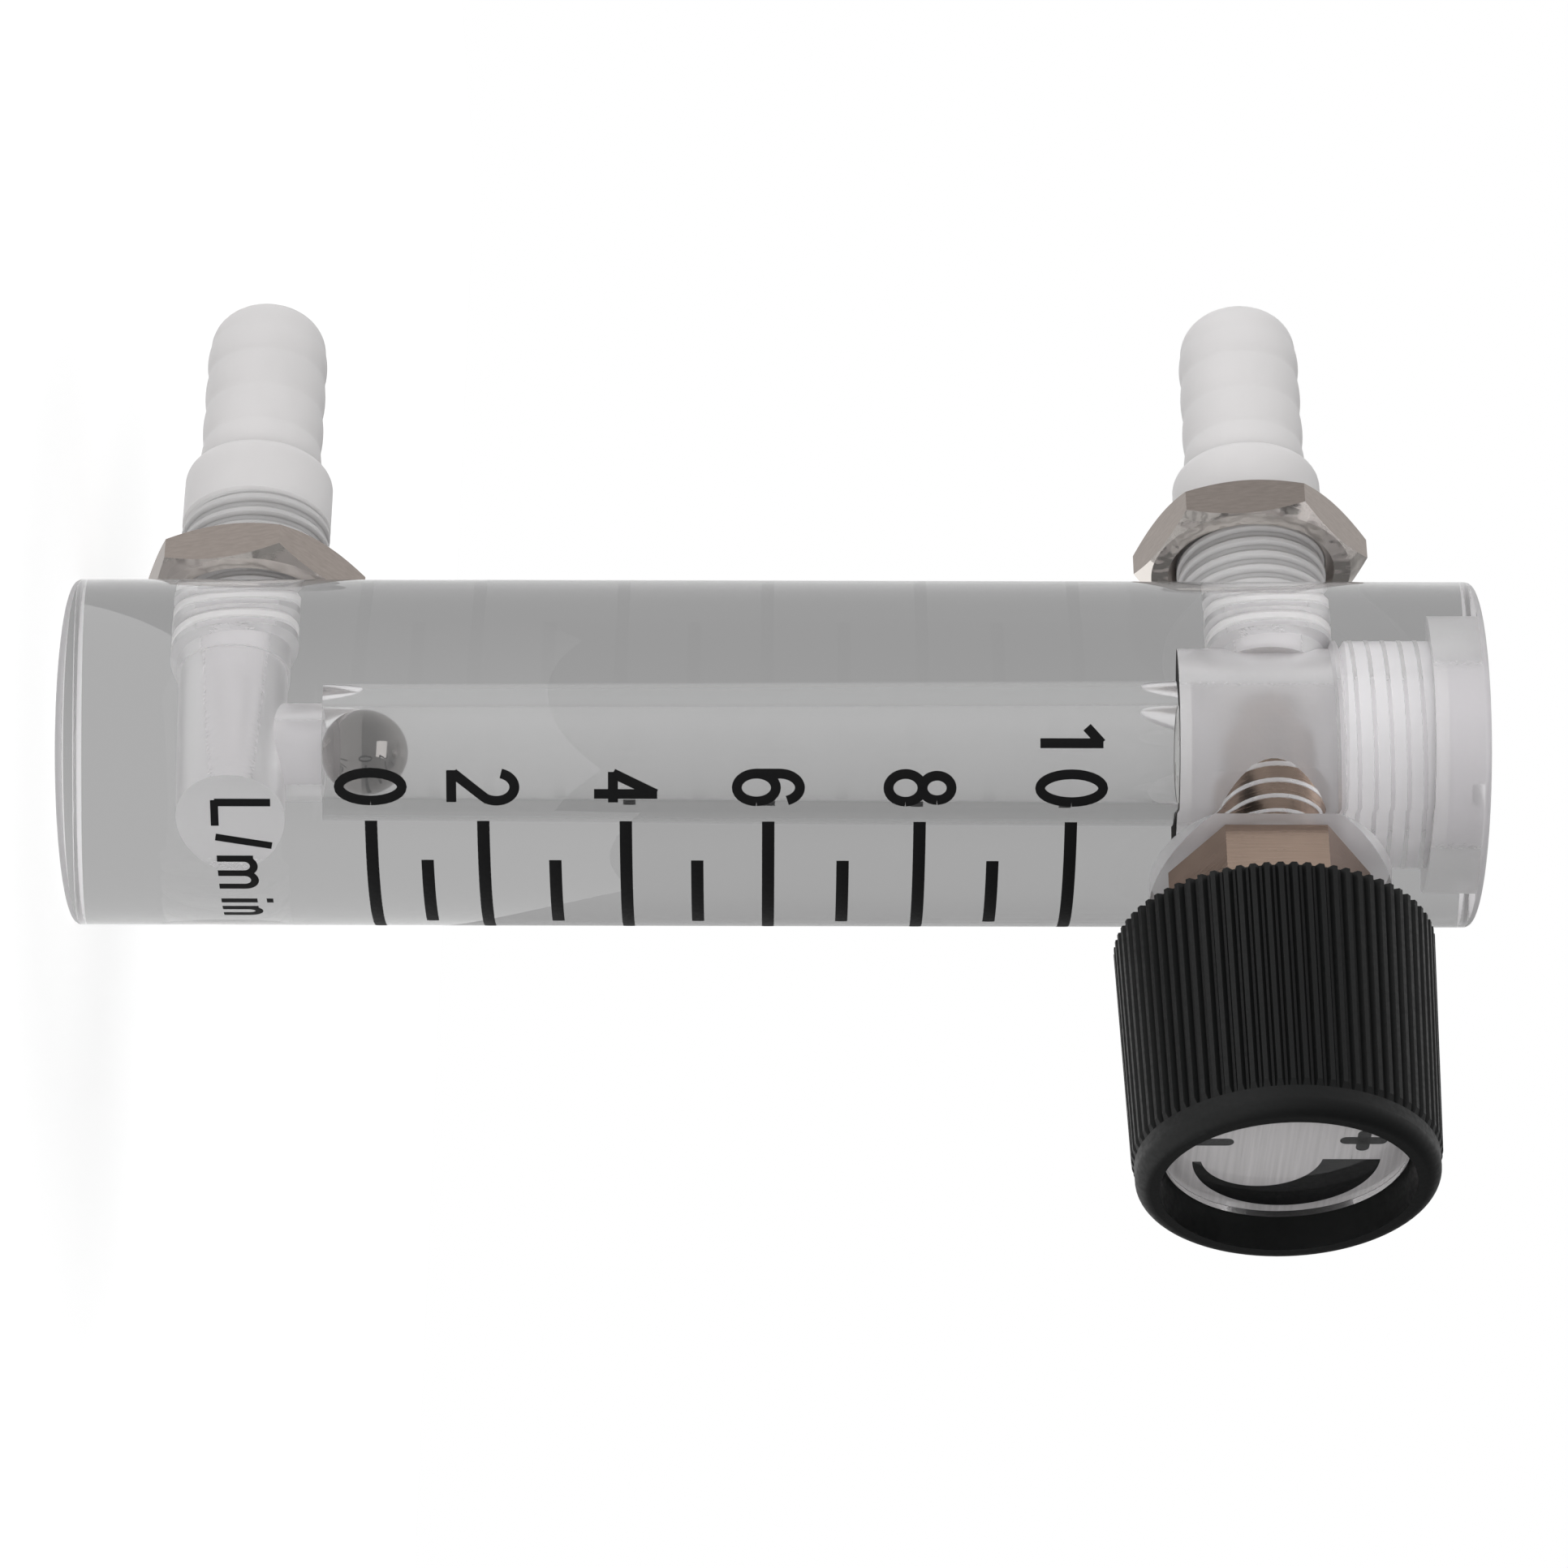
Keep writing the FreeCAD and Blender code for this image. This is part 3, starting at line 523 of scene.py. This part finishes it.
def plated_nickel():
    """Nickel plate on a milled nut: brushed grey-brown flats and a dented, patchy inner face
    painted pale as a highlight.
    """
    material, tree, output = new_material("plated_nickel")
    place = node(tree, "ShaderNodeTexCoord")
    laid = node(tree, "ShaderNodeMapping", {"Scale": (per(0.625), per(1 / 7), per(0.625))},
                {"Vector": (place, "Object")})
    brushed = node(tree, "ShaderNodeTexNoise", {"Scale": 1.0, "Detail": 5.0},
                   {"Vector": (laid, "Vector")})
    dents = node(tree, "ShaderNodeTexNoise", {"Scale": per(2.381), "Detail": 2.0},
                 {"Vector": (place, "Object")})
    facing = node(tree, "ShaderNodeNewGeometry")
    parts = node(tree, "ShaderNodeSeparateXYZ", None, {"Vector": (facing, "Normal")})
    # 1 on the face towards the block, 0 on the flats and on the outer face.
    inner = node(tree, "ShaderNodeMapRange", {
        "From Min": -0.5, "From Max": -0.9, "To Min": 0.0, "To Max": 1.0,
    }, {"Value": (parts, "Y")})
    dented = node(tree, "ShaderNodeMath", None, {0: (dents, "Fac"), 1: (inner, "Result")},
                  operation="MULTIPLY")
    fine = node(tree, "ShaderNodeBump", {"Strength": 0.45, "Distance": 0.02 * MM},
                {"Height": (brushed, "Fac")})
    coarse = node(tree, "ShaderNodeBump", {"Strength": 0.9, "Distance": 0.35 * MM},
                  {"Height": (dented, "Value"), "Normal": (fine, "Normal")})
    gloss = node(tree, "ShaderNodeMapRange", {
        "From Min": 0.0, "From Max": 1.0, "To Min": 0.34, "To Max": 0.12,
    }, {"Value": (inner, "Result")})
    tone = node(tree, "ShaderNodeMix", shades(props().finish.nickel, 0.8, 1.15),
                {"Factor": (brushed, "Fac")}, data_type="RGBA")
    # Painted highlight: the inner face is given a much paler colour, standing in for the bright
    # light it mirrors.
    painted_inner_highlight = node(tree, "ShaderNodeMix", {"B": opaque(linear("F2ECE6"))}, {
        "Factor": (inner, "Result"), "A": (tone, MIXED_COLOUR),
    }, data_type="RGBA")
    shader = node(tree, "ShaderNodeBsdfPrincipled", {"Metallic": 1.0}, {
        "Base Color": (painted_inner_highlight, MIXED_COLOUR), "Roughness": (gloss, "Result"),
        "Normal": (coarse, "Normal"),
    })
    surface(tree, output, shader)
    return material


def drilled_acrylic():
    """Acrylic left by a drill, a tap or a lathe: frosted white, so the threads show inside."""
    material, tree, output = new_material("drilled_acrylic")
    place = node(tree, "ShaderNodeTexCoord")
    marks = node(tree, "ShaderNodeTexNoise", {"Scale": per(1 / 3), "Detail": 3.0},
                 {"Vector": (place, "Object")})
    bump = node(tree, "ShaderNodeBump", {"Strength": 0.3, "Distance": 0.03 * MM},
                {"Height": (marks, "Fac")})
    frosted = node(tree, "ShaderNodeBsdfPrincipled", {
        "Base Color": opaque(linear("E0DEE0")), "Roughness": 0.34, "IOR": ACRYLIC_INDEX,
        "Transmission Weight": 0.6,
    }, {"Normal": (bump, "Normal")})
    lit_through(tree, output, frosted)
    return material


def give(material, *names):
    """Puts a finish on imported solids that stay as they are."""
    for name in names:
        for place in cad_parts[name].material_slots:
            place.material = material


def oval(across, up, half_width, half_height, start=0, end=360, steps=28):
    """Points on an ellipse, between two angles in degrees from its right-hand side."""
    angles = [math.radians(start + (end - start) * step / steps) for step in range(steps + 1)]
    return [(across + half_width * math.cos(angle), up + half_height * math.sin(angle))
            for angle in angles]


def drawn(points, closed, **settings):
    """A bmesh of a curve through flat points, whose settings fill it or give it a section."""
    line = bpy.data.curves.new("drawn", "CURVE")
    for name, setting in settings.items():
        setattr(line, name, setting)
    spline = line.splines.new("POLY")
    spline.points.add(len(points) - 1)
    for point, place in zip(spline.points, points):
        point.co = (place[0], place[1], 0, 1)
    spline.use_cyclic_u = closed
    item = bpy.data.objects.new("drawn", line)
    mesh = bpy.data.meshes.new_from_object(item)
    bm = bmesh.new()
    bm.from_mesh(mesh)
    bpy.data.objects.remove(item)
    bpy.data.curves.remove(line)
    bpy.data.meshes.remove(mesh)
    return bm


class FLOWMETER_OT_block(bpy.types.Operator):
    """Makes the clear block with its bore, chamber and threaded holes"""
    bl_idname = "flowmeter.block"
    bl_label = "Acrylic block"

    # The block's materials, in the order of its slots.
    polished, reamed, drilled = range(3)

    def execute(self, context):
        made = props()
        block = made.block
        thread = made.thread
        steps = block.facets
        sink = block.length - block.sink_depth
        flat = block.radius - block.edge
        # A quarter circle stands out of its chord by this share of its radius.
        swell = -block.edge * 0.293
        bar = lathe([
            (0, block.inlet_z),
            (block.feed_radius, block.inlet_z),
            (block.feed_radius, block.bore_floor),
            (block.bore_low, block.bore_floor),
            (block.bore_high, block.chamber_floor),
            (block.chamber_radius, block.chamber_floor),
            (block.chamber_radius, sink),
            (block.sink_radius, sink),
            (block.sink_radius, block.length),
            *arc((flat, block.length), (block.radius, block.length - block.edge), swell),
            (block.radius, block.length - block.edge),
            *arc((block.radius, block.edge), (flat, 0), swell),
            (flat, 0),
            (0, 0),
        ], steps, closed=False)
        tools = [tool for height in (block.inlet_z, block.outlet_z)
                 for tool in self.barb_holes(block, thread, height)]
        tools.append(at(TO_BACK, block.inlet_z, rod(
            block.inlet_radius, -block.inlet_reach, block.spot_floor, ROUND_FACETS)))
        tools += self.valve_holes(block, thread)
        tools.append(screw(
            block.plug_radius - thread.depth - CORE_OVERLAP, block.plug_radius, thread.plug_pitch,
            block.plug_start - thread.plug_pitch, sink + thread.plug_pitch * 0.5))
        bm = cut(bar, tools)
        self.sort_walls(bm, block)
        polished = acrylic("polished_acrylic", 0.01, made.finish.far_side_shade)
        piece = finish_object("acrylic_block", bm, "block", polished, smooth=25)
        piece.data.materials.append(acrylic("reamed_acrylic", 0.015, 1.0, clearness=0.95))
        piece.data.materials.append(drilled_acrylic())
        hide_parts("flow_body")
        return {"FINISHED"}

    def barb_holes(self, block, thread, height):
        """The spot face, the hole and the thread that take a barb."""
        root = block.barb_tap - thread.depth
        far = block.radius * 2
        return [
            at(TO_BACK, height, rod(block.back_spot, block.spot_floor, far, block.facets)),
            at(TO_BACK, height, rod(root, block.barb_tap_end, far, ROUND_FACETS)),
            at(TO_BACK, height, screw(
                root - CORE_OVERLAP, block.barb_tap, thread.spigot_pitch,
                block.barb_tap_end, block.spot_floor + thread.spigot_pitch)),
        ]

    def valve_holes(self, block, thread):
        """The spot face, the hole, the thread and the seal's mouth for the valve."""
        root = block.valve_tap - thread.depth
        far = block.radius * 2
        mouth = block.spot_floor - block.seal_depth
        # The thread starts well inside the chamber, so that its first turns are whole.
        inner_end = block.chamber_radius - thread.valve_pitch * 2.5
        made = [
            rod(block.front_spot, block.spot_floor, far, block.facets),
            rod(root, 0, far, ROUND_FACETS),
            screw(root - CORE_OVERLAP, block.valve_tap, thread.valve_pitch,
                  inner_end, block.spot_floor + thread.valve_pitch),
            rod(block.seal_radius, mouth, far, ROUND_FACETS),
        ]
        return [at(TO_FRONT, block.outlet_z, tool) for tool in made]

    def sort_walls(self, bm, block):
        """Marks the polished outside, the reamed bore and the rougher drilled and turned walls."""
        near = 0.005 * MM
        for face in bm.faces:
            reaches = [math.hypot(vert.co.x, vert.co.y) for vert in face.verts]
            heights = [vert.co.z for vert in face.verts]
            outside = min(reaches) > block.radius - near
            end = max(heights) < near or min(heights) > block.length - near
            in_bore = block.bore_floor < sum(heights) / len(heights) < block.chamber_floor
            if outside or end:
                face.material_index = self.polished
            elif in_bore and max(reaches) < block.bore_high + near:
                face.material_index = self.reamed
            else:
                face.material_index = self.drilled


class FLOWMETER_OT_barbs(bpy.types.Operator):
    """Makes both nylon hose barbs with the threads on their studs and spigots"""
    bl_idname = "flowmeter.barbs"
    bl_label = "Hose barbs"

    def execute(self, context):
        made = props()
        nylon = moulded_nylon()
        places = {"lower_barb": made.block.inlet_z, "upper_barb": made.block.outlet_z}
        for name, height in places.items():
            bm = at(TO_BACK, height, self.barb(made))
            piece = finish_object(name + "_moulding", bm, "block", nylon)
            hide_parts(name)
        return {"FINISHED"}

    def barb(self, made):
        barb = made.barb
        thread = made.thread
        block = made.block
        spigot = block.barb_tap - thread.gap
        spigot_root = spigot - thread.depth
        stud_root = barb.stud_radius - thread.stud_depth
        outline = [
            (barb.bore, barb.spigot_end), (spigot_root, barb.spigot_end),
            (spigot_root, block.spot_floor), (stud_root, block.spot_floor),
            (stud_root, thread.stud_top - thread.stud_depth), (barb.stud_radius, thread.stud_top),
        ]
        shoulder = barb.collar_top - barb.collar_round
        shoulder_top = (barb.stud_radius - barb.collar_round, barb.collar_top)
        outline += arc((barb.stud_radius, shoulder), shoulder_top, barb.collar_swell)
        outline.append(shoulder_top)
        notches = [barb.collar_top]
        notches += [barb.first_notch + turn * barb.notch_pitch for turn in range(3)]
        notches.append(barb.dome_start)
        for low, high in zip(notches, notches[1:]):
            outline += arc((barb.root, low), (barb.root, high), barb.swell, 8)
        outline += arc((barb.root, barb.dome_start), (barb.tip_radius, barb.tip),
                       barb.dome_swell, 10)
        outline += [(barb.tip_radius, barb.tip), (barb.bore, barb.tip)]
        bm = lathe(outline, ROUND_FACETS)
        # Each thread starts a little way out and its core stays inside the turned barb.
        start = 0.2 * MM
        core = 0.05 * MM
        join(bm, screw(spigot_root - core, spigot, thread.spigot_pitch,
                       barb.spigot_end + start, block.spot_floor))
        join(bm, screw(stud_root - core, barb.stud_radius, thread.stud_pitch,
                       block.spot_floor + start, thread.stud_top))
        return bm


class FLOWMETER_OT_plug(bpy.types.Operator):
    """Makes the end plug's thread, and finishes the slotted plug, its gasket and the ball stop"""
    bl_idname = "flowmeter.plug"
    bl_label = "End plug"

    def execute(self, context):
        made = props()
        block = made.block
        thread = made.thread
        clear = milky_nylon()
        crest = block.plug_radius - thread.gap
        sink = block.length - block.sink_depth
        threads = screw(crest - thread.depth, crest, thread.plug_pitch, block.plug_start, sink)
        finish_object("plug_thread", threads, "block", clear)
        give(clear, "end_plug")
        give(silicone(), "plug_gasket")
        give(acetal(), "ball_stop")
        return {"FINISHED"}


class FLOWMETER_OT_metal(bpy.types.Operator):
    """Finishes the nuts, the needle valve, the ball and the inner metal"""
    bl_idname = "flowmeter.metal"
    bl_label = "Metal pieces"

    def execute(self, context):
        give(plated_nickel(), "lower_nut", "upper_nut")
        give(turned_nickel(), "valve_body")
        give(lapped_steel(), "float_ball")
        give(turned("turned_steel", "B9B9B8"), "valve_stem", "stem_clip", "knob_screw")
        give(turned("turned_brass", "C9A25C"), "knob_insert")
        give(rubber(), "valve_seal", "stem_oring", "tip_seal")
        return {"FINISHED"}


class FLOWMETER_OT_knob(bpy.types.Operator):
    """Finishes the ribbed knob, its dial and the clear disc over it"""
    bl_idname = "flowmeter.knob"
    bl_label = "Knob and dial"

    # Where the crescent's edges start and end, in degrees round their own middles.
    outer_turn = (0.5, 176)
    inner_turn = (168, 6.7)

    def execute(self, context):
        give(moulded_black(), "knob")
        give(brushed_label(), "knob_label")
        # Its back rests on the dial, so it mirrors less than a piece with air on both sides.
        give(acrylic("polished_disc", 0.02, 1.0, index=1.25), "knob_window")
        self.marks()
        return {"FINISHED"}

    def marks(self):
        """Prints the minus, the plus and the crescent that thickens towards more flow."""
        dial = props().dial
        film = bmesh.new()
        minus = (dial.minus_side, dial.minus_drop)
        plus = (dial.plus_side, dial.plus_drop)
        self.shape(film, self.bar(minus, (dial.bar_half, 0), dial.bar))
        self.shape(film, self.bar(plus, (dial.bar_half, 0), dial.bar))
        self.shape(film, self.bar(plus, (0, dial.plus_half), dial.bar))
        outer = oval(dial.outer_side, dial.outer_drop, dial.outer_radius, dial.outer_radius,
                     *self.outer_turn, steps=48)
        inner = oval(dial.inner_side, dial.inner_drop, dial.inner_radius, dial.inner_radius,
                     *self.inner_turn, steps=40)
        self.shape(film, outer + inner)
        finish_object("dial_marks", film, "knob", ink())

    def bar(self, middle, half, width):
        """The outline of a bar with round ends, along a half length."""
        along = math.degrees(math.atan2(half[1], half[0]))
        reach = 1 - width / 2 / math.hypot(*half)
        tip = (middle[0] + half[0] * reach, middle[1] + half[1] * reach)
        tail = (middle[0] - half[0] * reach, middle[1] - half[1] * reach)
        end = oval(*tip, width / 2, width / 2, along - 90, along + 90, steps=10)
        return end + oval(*tail, width / 2, width / 2, along + 90, along + 270, steps=10)

    def shape(self, film, outline):
        """Adds a flat inked shape from its outline round the knob's axis.

        The outline's points are (along the block, across it).
        """
        made = props()
        bm = drawn(outline, True, dimensions="2D", fill_mode="BOTH", extrude=made.dial.film / 2)
        middle = -made.dial.plane - made.dial.film / 2
        for vert in bm.verts:
            vert.co = (vert.co.y, middle - vert.co.z, made.block.outlet_z + vert.co.x)
        bmesh.ops.remove_doubles(bm, verts=bm.verts, dist=SLIVER)
        bmesh.ops.recalc_face_normals(bm, faces=bm.faces)
        join(film, bm)


class FLOWMETER_OT_scale(bpy.types.Operator):
    """Prints the ticks, the numbers and the unit on the block"""
    bl_idname = "flowmeter.scale"
    bl_label = "Printed scale"

    # The heights of the ticks in mm: long ones at the even numbers, short ones at the odd ones.
    long_ticks = (17.7, 24.0, 32.0, 40.0, 48.5, 57.0)
    short_ticks = (20.8, 28.0, 36.0, 44.2, 52.65)

    # Each sign is a list of strokes in a box of 1 by 1, drawn along their middles.
    signs = {
        "0": [oval(0.5, 0.5, 0.5, 0.5)],
        "1": [[(1, 0), (1, 1)], [(1, 0.97), (0, 0.74)]],
        "2": [oval(0.5, 0.71, 0.5, 0.29, 165, -38) + [(0, 0.03)], [(-0.1, 0), (1.05, 0)]],
        "4": [[(0.74, 0), (0.74, 1)], [(0.74, 0.98), (0, 0.3)], [(-0.05, 0.3), (1.05, 0.3)]],
        "6": [oval(0.5, 0.31, 0.5, 0.31), [(0, 0.31)] + oval(0.5, 0.68, 0.5, 0.32, 180, 22)],
        "8": [oval(0.5, 0.27, 0.5, 0.27), oval(0.5, 0.77, 0.44, 0.23)],
        "L": [[(0, 0), (0, 1)], [(-0.1, 0), (1, 0)]],
        "/": [[(0, 0), (1, 1)]],
        "m": [
            [(0, 0), (0, 1)],
            oval(0.25, 0.72, 0.25, 0.28, 180, 0) + [(0.5, 0)],
            oval(0.75, 0.72, 0.25, 0.28, 180, 0) + [(1, 0)],
        ],
        "i": [[(0, 0), (0, 1)], [(0, 1.26), (0, 1.44)]],
        "n": [[(0, 0), (0, 1)], oval(0.5, 0.7, 0.5, 0.3, 180, 0) + [(1, 0)]],
    }
    # The unit stands under the scale: each letter's left and right edge, in degrees from the
    # front, and the height of its foot in mm.
    unit = (
        ("L", 40.6, 30.0), ("/", 28.5, 22.7), ("m", 20.1, 5.0), ("i", -0.5, -0.5),
        ("n", -5.4, -12.9),
    )
    unit_foot = 8.7

    # An inked line longer than this is cut into pieces that follow the round block.
    straight_end = 0.8 * MM
    bend_cuts = 24

    def execute(self, context):
        made = props().scale
        film = bmesh.new()
        for height in self.long_ticks:
            self.tick(film, height * MM, made.long_reach)
        for height in self.short_ticks:
            self.tick(film, height * MM, made.short_reach)
        for place, height in enumerate(self.long_ticks):
            self.number(film, str(place * 2), height * MM)
        for letter, left, right in self.unit:
            tall = made.letter_height if letter in "L/" else made.lower_height
            width = math.radians(left - right) * props().block.radius
            foot = self.unit_foot * MM
            self.sign(film, letter, math.radians(left), foot, width, tall, made.letter_stroke)
        finish_object("scale_print", film, "block", ink())
        return {"FINISHED"}

    def number(self, film, figures, height):
        """Prints a number whose last figure stands in the column beside the ticks."""
        made = props().scale
        foot = height - made.figure_height / 2
        columns = [(made.figure_side, made.figure_width), (made.ten_side, made.one_width)]
        for figure, (side, width) in zip(reversed(figures), columns):
            self.sign(film, figure, side, foot, width, made.figure_height, made.stroke)

    def sign(self, film, letter, side, foot, width, tall, stroke):
        """Prints one sign from its left edge, as an angle from the front, and its foot."""
        across = max(width - stroke, 0)
        up = tall - stroke
        for points in self.signs[letter]:
            line = [(stroke / 2 + x * across, stroke / 2 + y * up) for x, y in points]
            self.stroke(film, line, side, foot, stroke)

    def tick(self, film, height, reach):
        half = props().block.radius * reach
        self.stroke(film, [(-half, 0), (half, 0)], 0, height, props().scale.tick)

    def stroke(self, film, points, side, height, width):
        """Adds one inked line of points (across, up), bent round the block at an angle."""
        made = props()
        bm = drawn(points, False, dimensions="3D", bevel_depth=width / 2, bevel_resolution=1,
                   use_fill_caps=True)
        lengthwise = [edge for edge in bm.edges if edge.calc_length() > self.straight_end]
        bmesh.ops.subdivide_edges(bm, edges=lengthwise, cuts=self.bend_cuts, use_grid_fill=True)
        radius = made.block.radius
        for vert in bm.verts:
            angle = side - vert.co.x / radius
            reach = radius + vert.co.z * made.scale.film / width
            vert.co = (-reach * math.sin(angle), -reach * math.cos(angle), height + vert.co.y)
        join(film, bm)


class FLOWMETER_OT_stage(bpy.types.Operator):
    """Sets the picture's camera, the soft lights and the white surroundings"""
    bl_idname = "flowmeter.stage"
    bl_label = "Studio"

    # Where the picture was taken from, and the camera's right, up and back directions.
    place = Vector((-251.967, -171.757, 39.616)) * MM
    right = Vector((-0.004801, -0.000514, 0.999988))
    up = Vector((-0.558432, 0.829547, -0.002255))
    back = Vector((-0.829536, -0.558437, -0.004270))

    # Level directions from the block towards the photographer, and past the knob.
    to_front = (-0.83, -0.558, 0)
    past_knob = (0.558, -0.83, 0)

    # Each lamp's place and width in metres, its power in watts, and whether glass shows it. The
    # ball mirrors the last, which stands too high to show in the block's straight walls.
    lamps = (
        ("key_softbox", (-0.28, 0.30, 0.03), 0.30, 0.85, False),
        ("front_softbox", (-0.30, -0.25, 0.06), 0.30, 0.82, False),
        ("top_softbox", (-0.25, -0.12, 0.36), 0.24, 0.55, True),
    )
    aim = Vector((0, 0, 0.04))

    def execute(self, context):
        scene = context.scene
        data = bpy.data.cameras.new("camera")
        data.lens = props().studio.lens
        data.sensor_width = 36
        data.clip_start = 0.01
        camera = bpy.data.objects.new("camera", data)
        turn = Matrix((self.right, self.up, self.back)).transposed().to_4x4()
        camera.matrix_world = Matrix.Translation(self.place) @ turn
        scene.collection.objects.link(camera)
        scene.camera = camera
        scene.view_settings.view_transform = "Standard"
        self.world(scene)
        self.floor()
        for lamp in self.lamps:
            self.lamp(*lamp)
        return {"FINISHED"}

    def sent(self, tree, path):
        """1 for the rays that glass and metal send out, and 0 for the others."""
        return node(tree, "ShaderNodeMath", None, {
            0: (path, "Is Glossy Ray"), 1: (path, "Is Transmission Ray"),
        }, operation="ADD", use_clamp=True)

    def world(self, scene):
        """White to the camera. Glass and metal see it grey in two directions, like a real room."""
        world = bpy.data.worlds.new("studio")
        scene.world = world
        world.use_nodes = True
        tree = world.node_tree
        tree.nodes.clear()
        place = node(tree, "ShaderNodeTexCoord")
        path = node(tree, "ShaderNodeLightPath")
        white = node(tree, "ShaderNodeBackground", {"Color": WHITE, "Strength": 1.0})
        light = node(tree, "ShaderNodeBackground", {
            "Color": WHITE, "Strength": props().studio.room,
        })
        # Towards the photographer the room falls off to grey.
        front = node(tree, "ShaderNodeVectorMath", {1: self.to_front},
                     {0: (place, "Generated")}, operation="DOT_PRODUCT")
        dim = node(tree, "ShaderNodeMapRange", {
            "From Min": -0.2, "From Max": 0.6, "To Min": 1.0, "To Max": 0.45,
        }, {"Value": (front, "Value")})
        # So it does past the knob, more for what mirrors it than for what lets it through.
        side = node(tree, "ShaderNodeVectorMath", {1: self.past_knob},
                    {0: (place, "Generated")}, operation="DOT_PRODUCT")
        depth = node(tree, "ShaderNodeMath", {1: 0.55, 2: 0.12},
                     {0: (path, "Is Transmission Ray")}, operation="MULTIPLY_ADD")
        shade = node(tree, "ShaderNodeMapRange", {
            "From Min": -0.36, "From Max": 0.85, "To Min": 1.0,
        }, {"Value": (side, "Value"), "To Max": (depth, "Value")})
        both = node(tree, "ShaderNodeMath", None, {0: (dim, "Result"), 1: (shade, "Result")},
                    operation="MULTIPLY")
        mirrored = node(tree, "ShaderNodeBackground", {"Color": WHITE},
                        {"Strength": (both, "Value")})
        bent = node(tree, "ShaderNodeMixShader", None, {
            "Fac": (self.sent(tree, path), "Value"), 1: (light, 0), 2: (mirrored, 0),
        })
        mix = node(tree, "ShaderNodeMixShader", None, {
            "Fac": (path, "Is Camera Ray"), 1: (bent, 0), 2: (white, 0),
        })
        output = node(tree, "ShaderNodeOutputWorld")
        surface(tree, output, mix)

    def floor(self):
        """A pale board, white to the camera, glass and metal, that keeps the object's shadow."""
        studio = props().studio
        bm = bmesh.new()
        bmesh.ops.create_grid(bm, x_segments=1, y_segments=1, size=0.3)
        bmesh.ops.translate(bm, vec=(0, 0, -0.1 * MM), verts=bm.verts)
        mesh = bpy.data.meshes.new("floor")
        bm.to_mesh(mesh)
        bm.free()
        floor = bpy.data.objects.new("floor", mesh)
        bpy.context.scene.collection.objects.link(floor)
        material, tree, output = new_material("painted_board")
        path = node(tree, "ShaderNodeLightPath")
        place = node(tree, "ShaderNodeTexCoord")
        matt = node(tree, "ShaderNodeBsdfDiffuse", {"Color": opaque(linear("E8E8E8"))})
        # The lift is less near the object, so that its shadow shows there.
        reach = node(tree, "ShaderNodeVectorMath", None, {0: (place, "Object")},
                     operation="LENGTH")
        share = node(tree, "ShaderNodeMapRange", {
            "From Min": 0.02, "From Max": 0.07,
            "To Min": studio.board_near, "To Max": studio.board_far,
        }, {"Value": (reach, "Value")})
        amount = node(tree, "ShaderNodeMath", {2: studio.board},
                      {0: (path, "Is Camera Ray"), 1: (share, "Result")},
                      operation="MULTIPLY_ADD")
        lift = node(tree, "ShaderNodeEmission", {"Color": WHITE}, {"Strength": (amount, "Value")})
        bright = node(tree, "ShaderNodeAddShader", None, {0: (matt, 0), 1: (lift, 0)})
        mirrored = node(tree, "ShaderNodeEmission", {"Color": WHITE, "Strength": 1.0})
        mix = node(tree, "ShaderNodeMixShader", None, {
            "Fac": (self.sent(tree, path), "Value"), 1: (bright, 0), 2: (mirrored, 0),
        })
        surface(tree, output, mix)
        mesh.materials.append(material)

    def lamp(self, name, place, width, power, seen_through):
        data = bpy.data.lights.new(name, "AREA")
        data.shape = "SQUARE"
        data.size = width
        data.energy = power
        lamp = bpy.data.objects.new(name, data)
        lamp.location = place
        lamp.visible_glossy = False
        lamp.visible_transmission = seen_through
        lamp.visible_diffuse = not seen_through
        lamp.rotation_euler = (Vector(place) - self.aim).to_track_quat("Z", "Y").to_euler()
        bpy.context.scene.collection.objects.link(lamp)


class FLOWMETER_PT_panel(bpy.types.Panel):
    """The flowmeter's pieces, one button each"""
    bl_idname = "FLOWMETER_PT_panel"
    bl_label = "Oxygen Flowmeter"
    bl_space_type = "VIEW_3D"
    bl_region_type = "UI"
    bl_category = "Flowmeter"

    def draw(self, context):
        for operator in OPERATORS:
            self.layout.operator(operator.bl_idname)


OPERATORS = (
    FLOWMETER_OT_stage,
    FLOWMETER_OT_block,
    FLOWMETER_OT_barbs,
    FLOWMETER_OT_plug,
    FLOWMETER_OT_metal,
    FLOWMETER_OT_knob,
    FLOWMETER_OT_scale,
)
GROUPS = (
    BlockSizes, ThreadSizes, BarbSizes, ScaleSizes, DialSizes, Finishes, StudioSizes, Flowmeter,
)
CLASSES = GROUPS + OPERATORS + (FLOWMETER_PT_panel,)


def register():
    for item in CLASSES:
        bpy.utils.register_class(item)
    bpy.types.Scene.flowmeter = PointerProperty(type=Flowmeter)


def unregister():
    del bpy.types.Scene.flowmeter
    for item in reversed(CLASSES):
        bpy.utils.unregister_class(item)


def main():
    register()
    for operator in OPERATORS:
        group, name = operator.bl_idname.split(".")
        getattr(getattr(bpy.ops, group), name)()


if __name__ == "__main__":
    main()
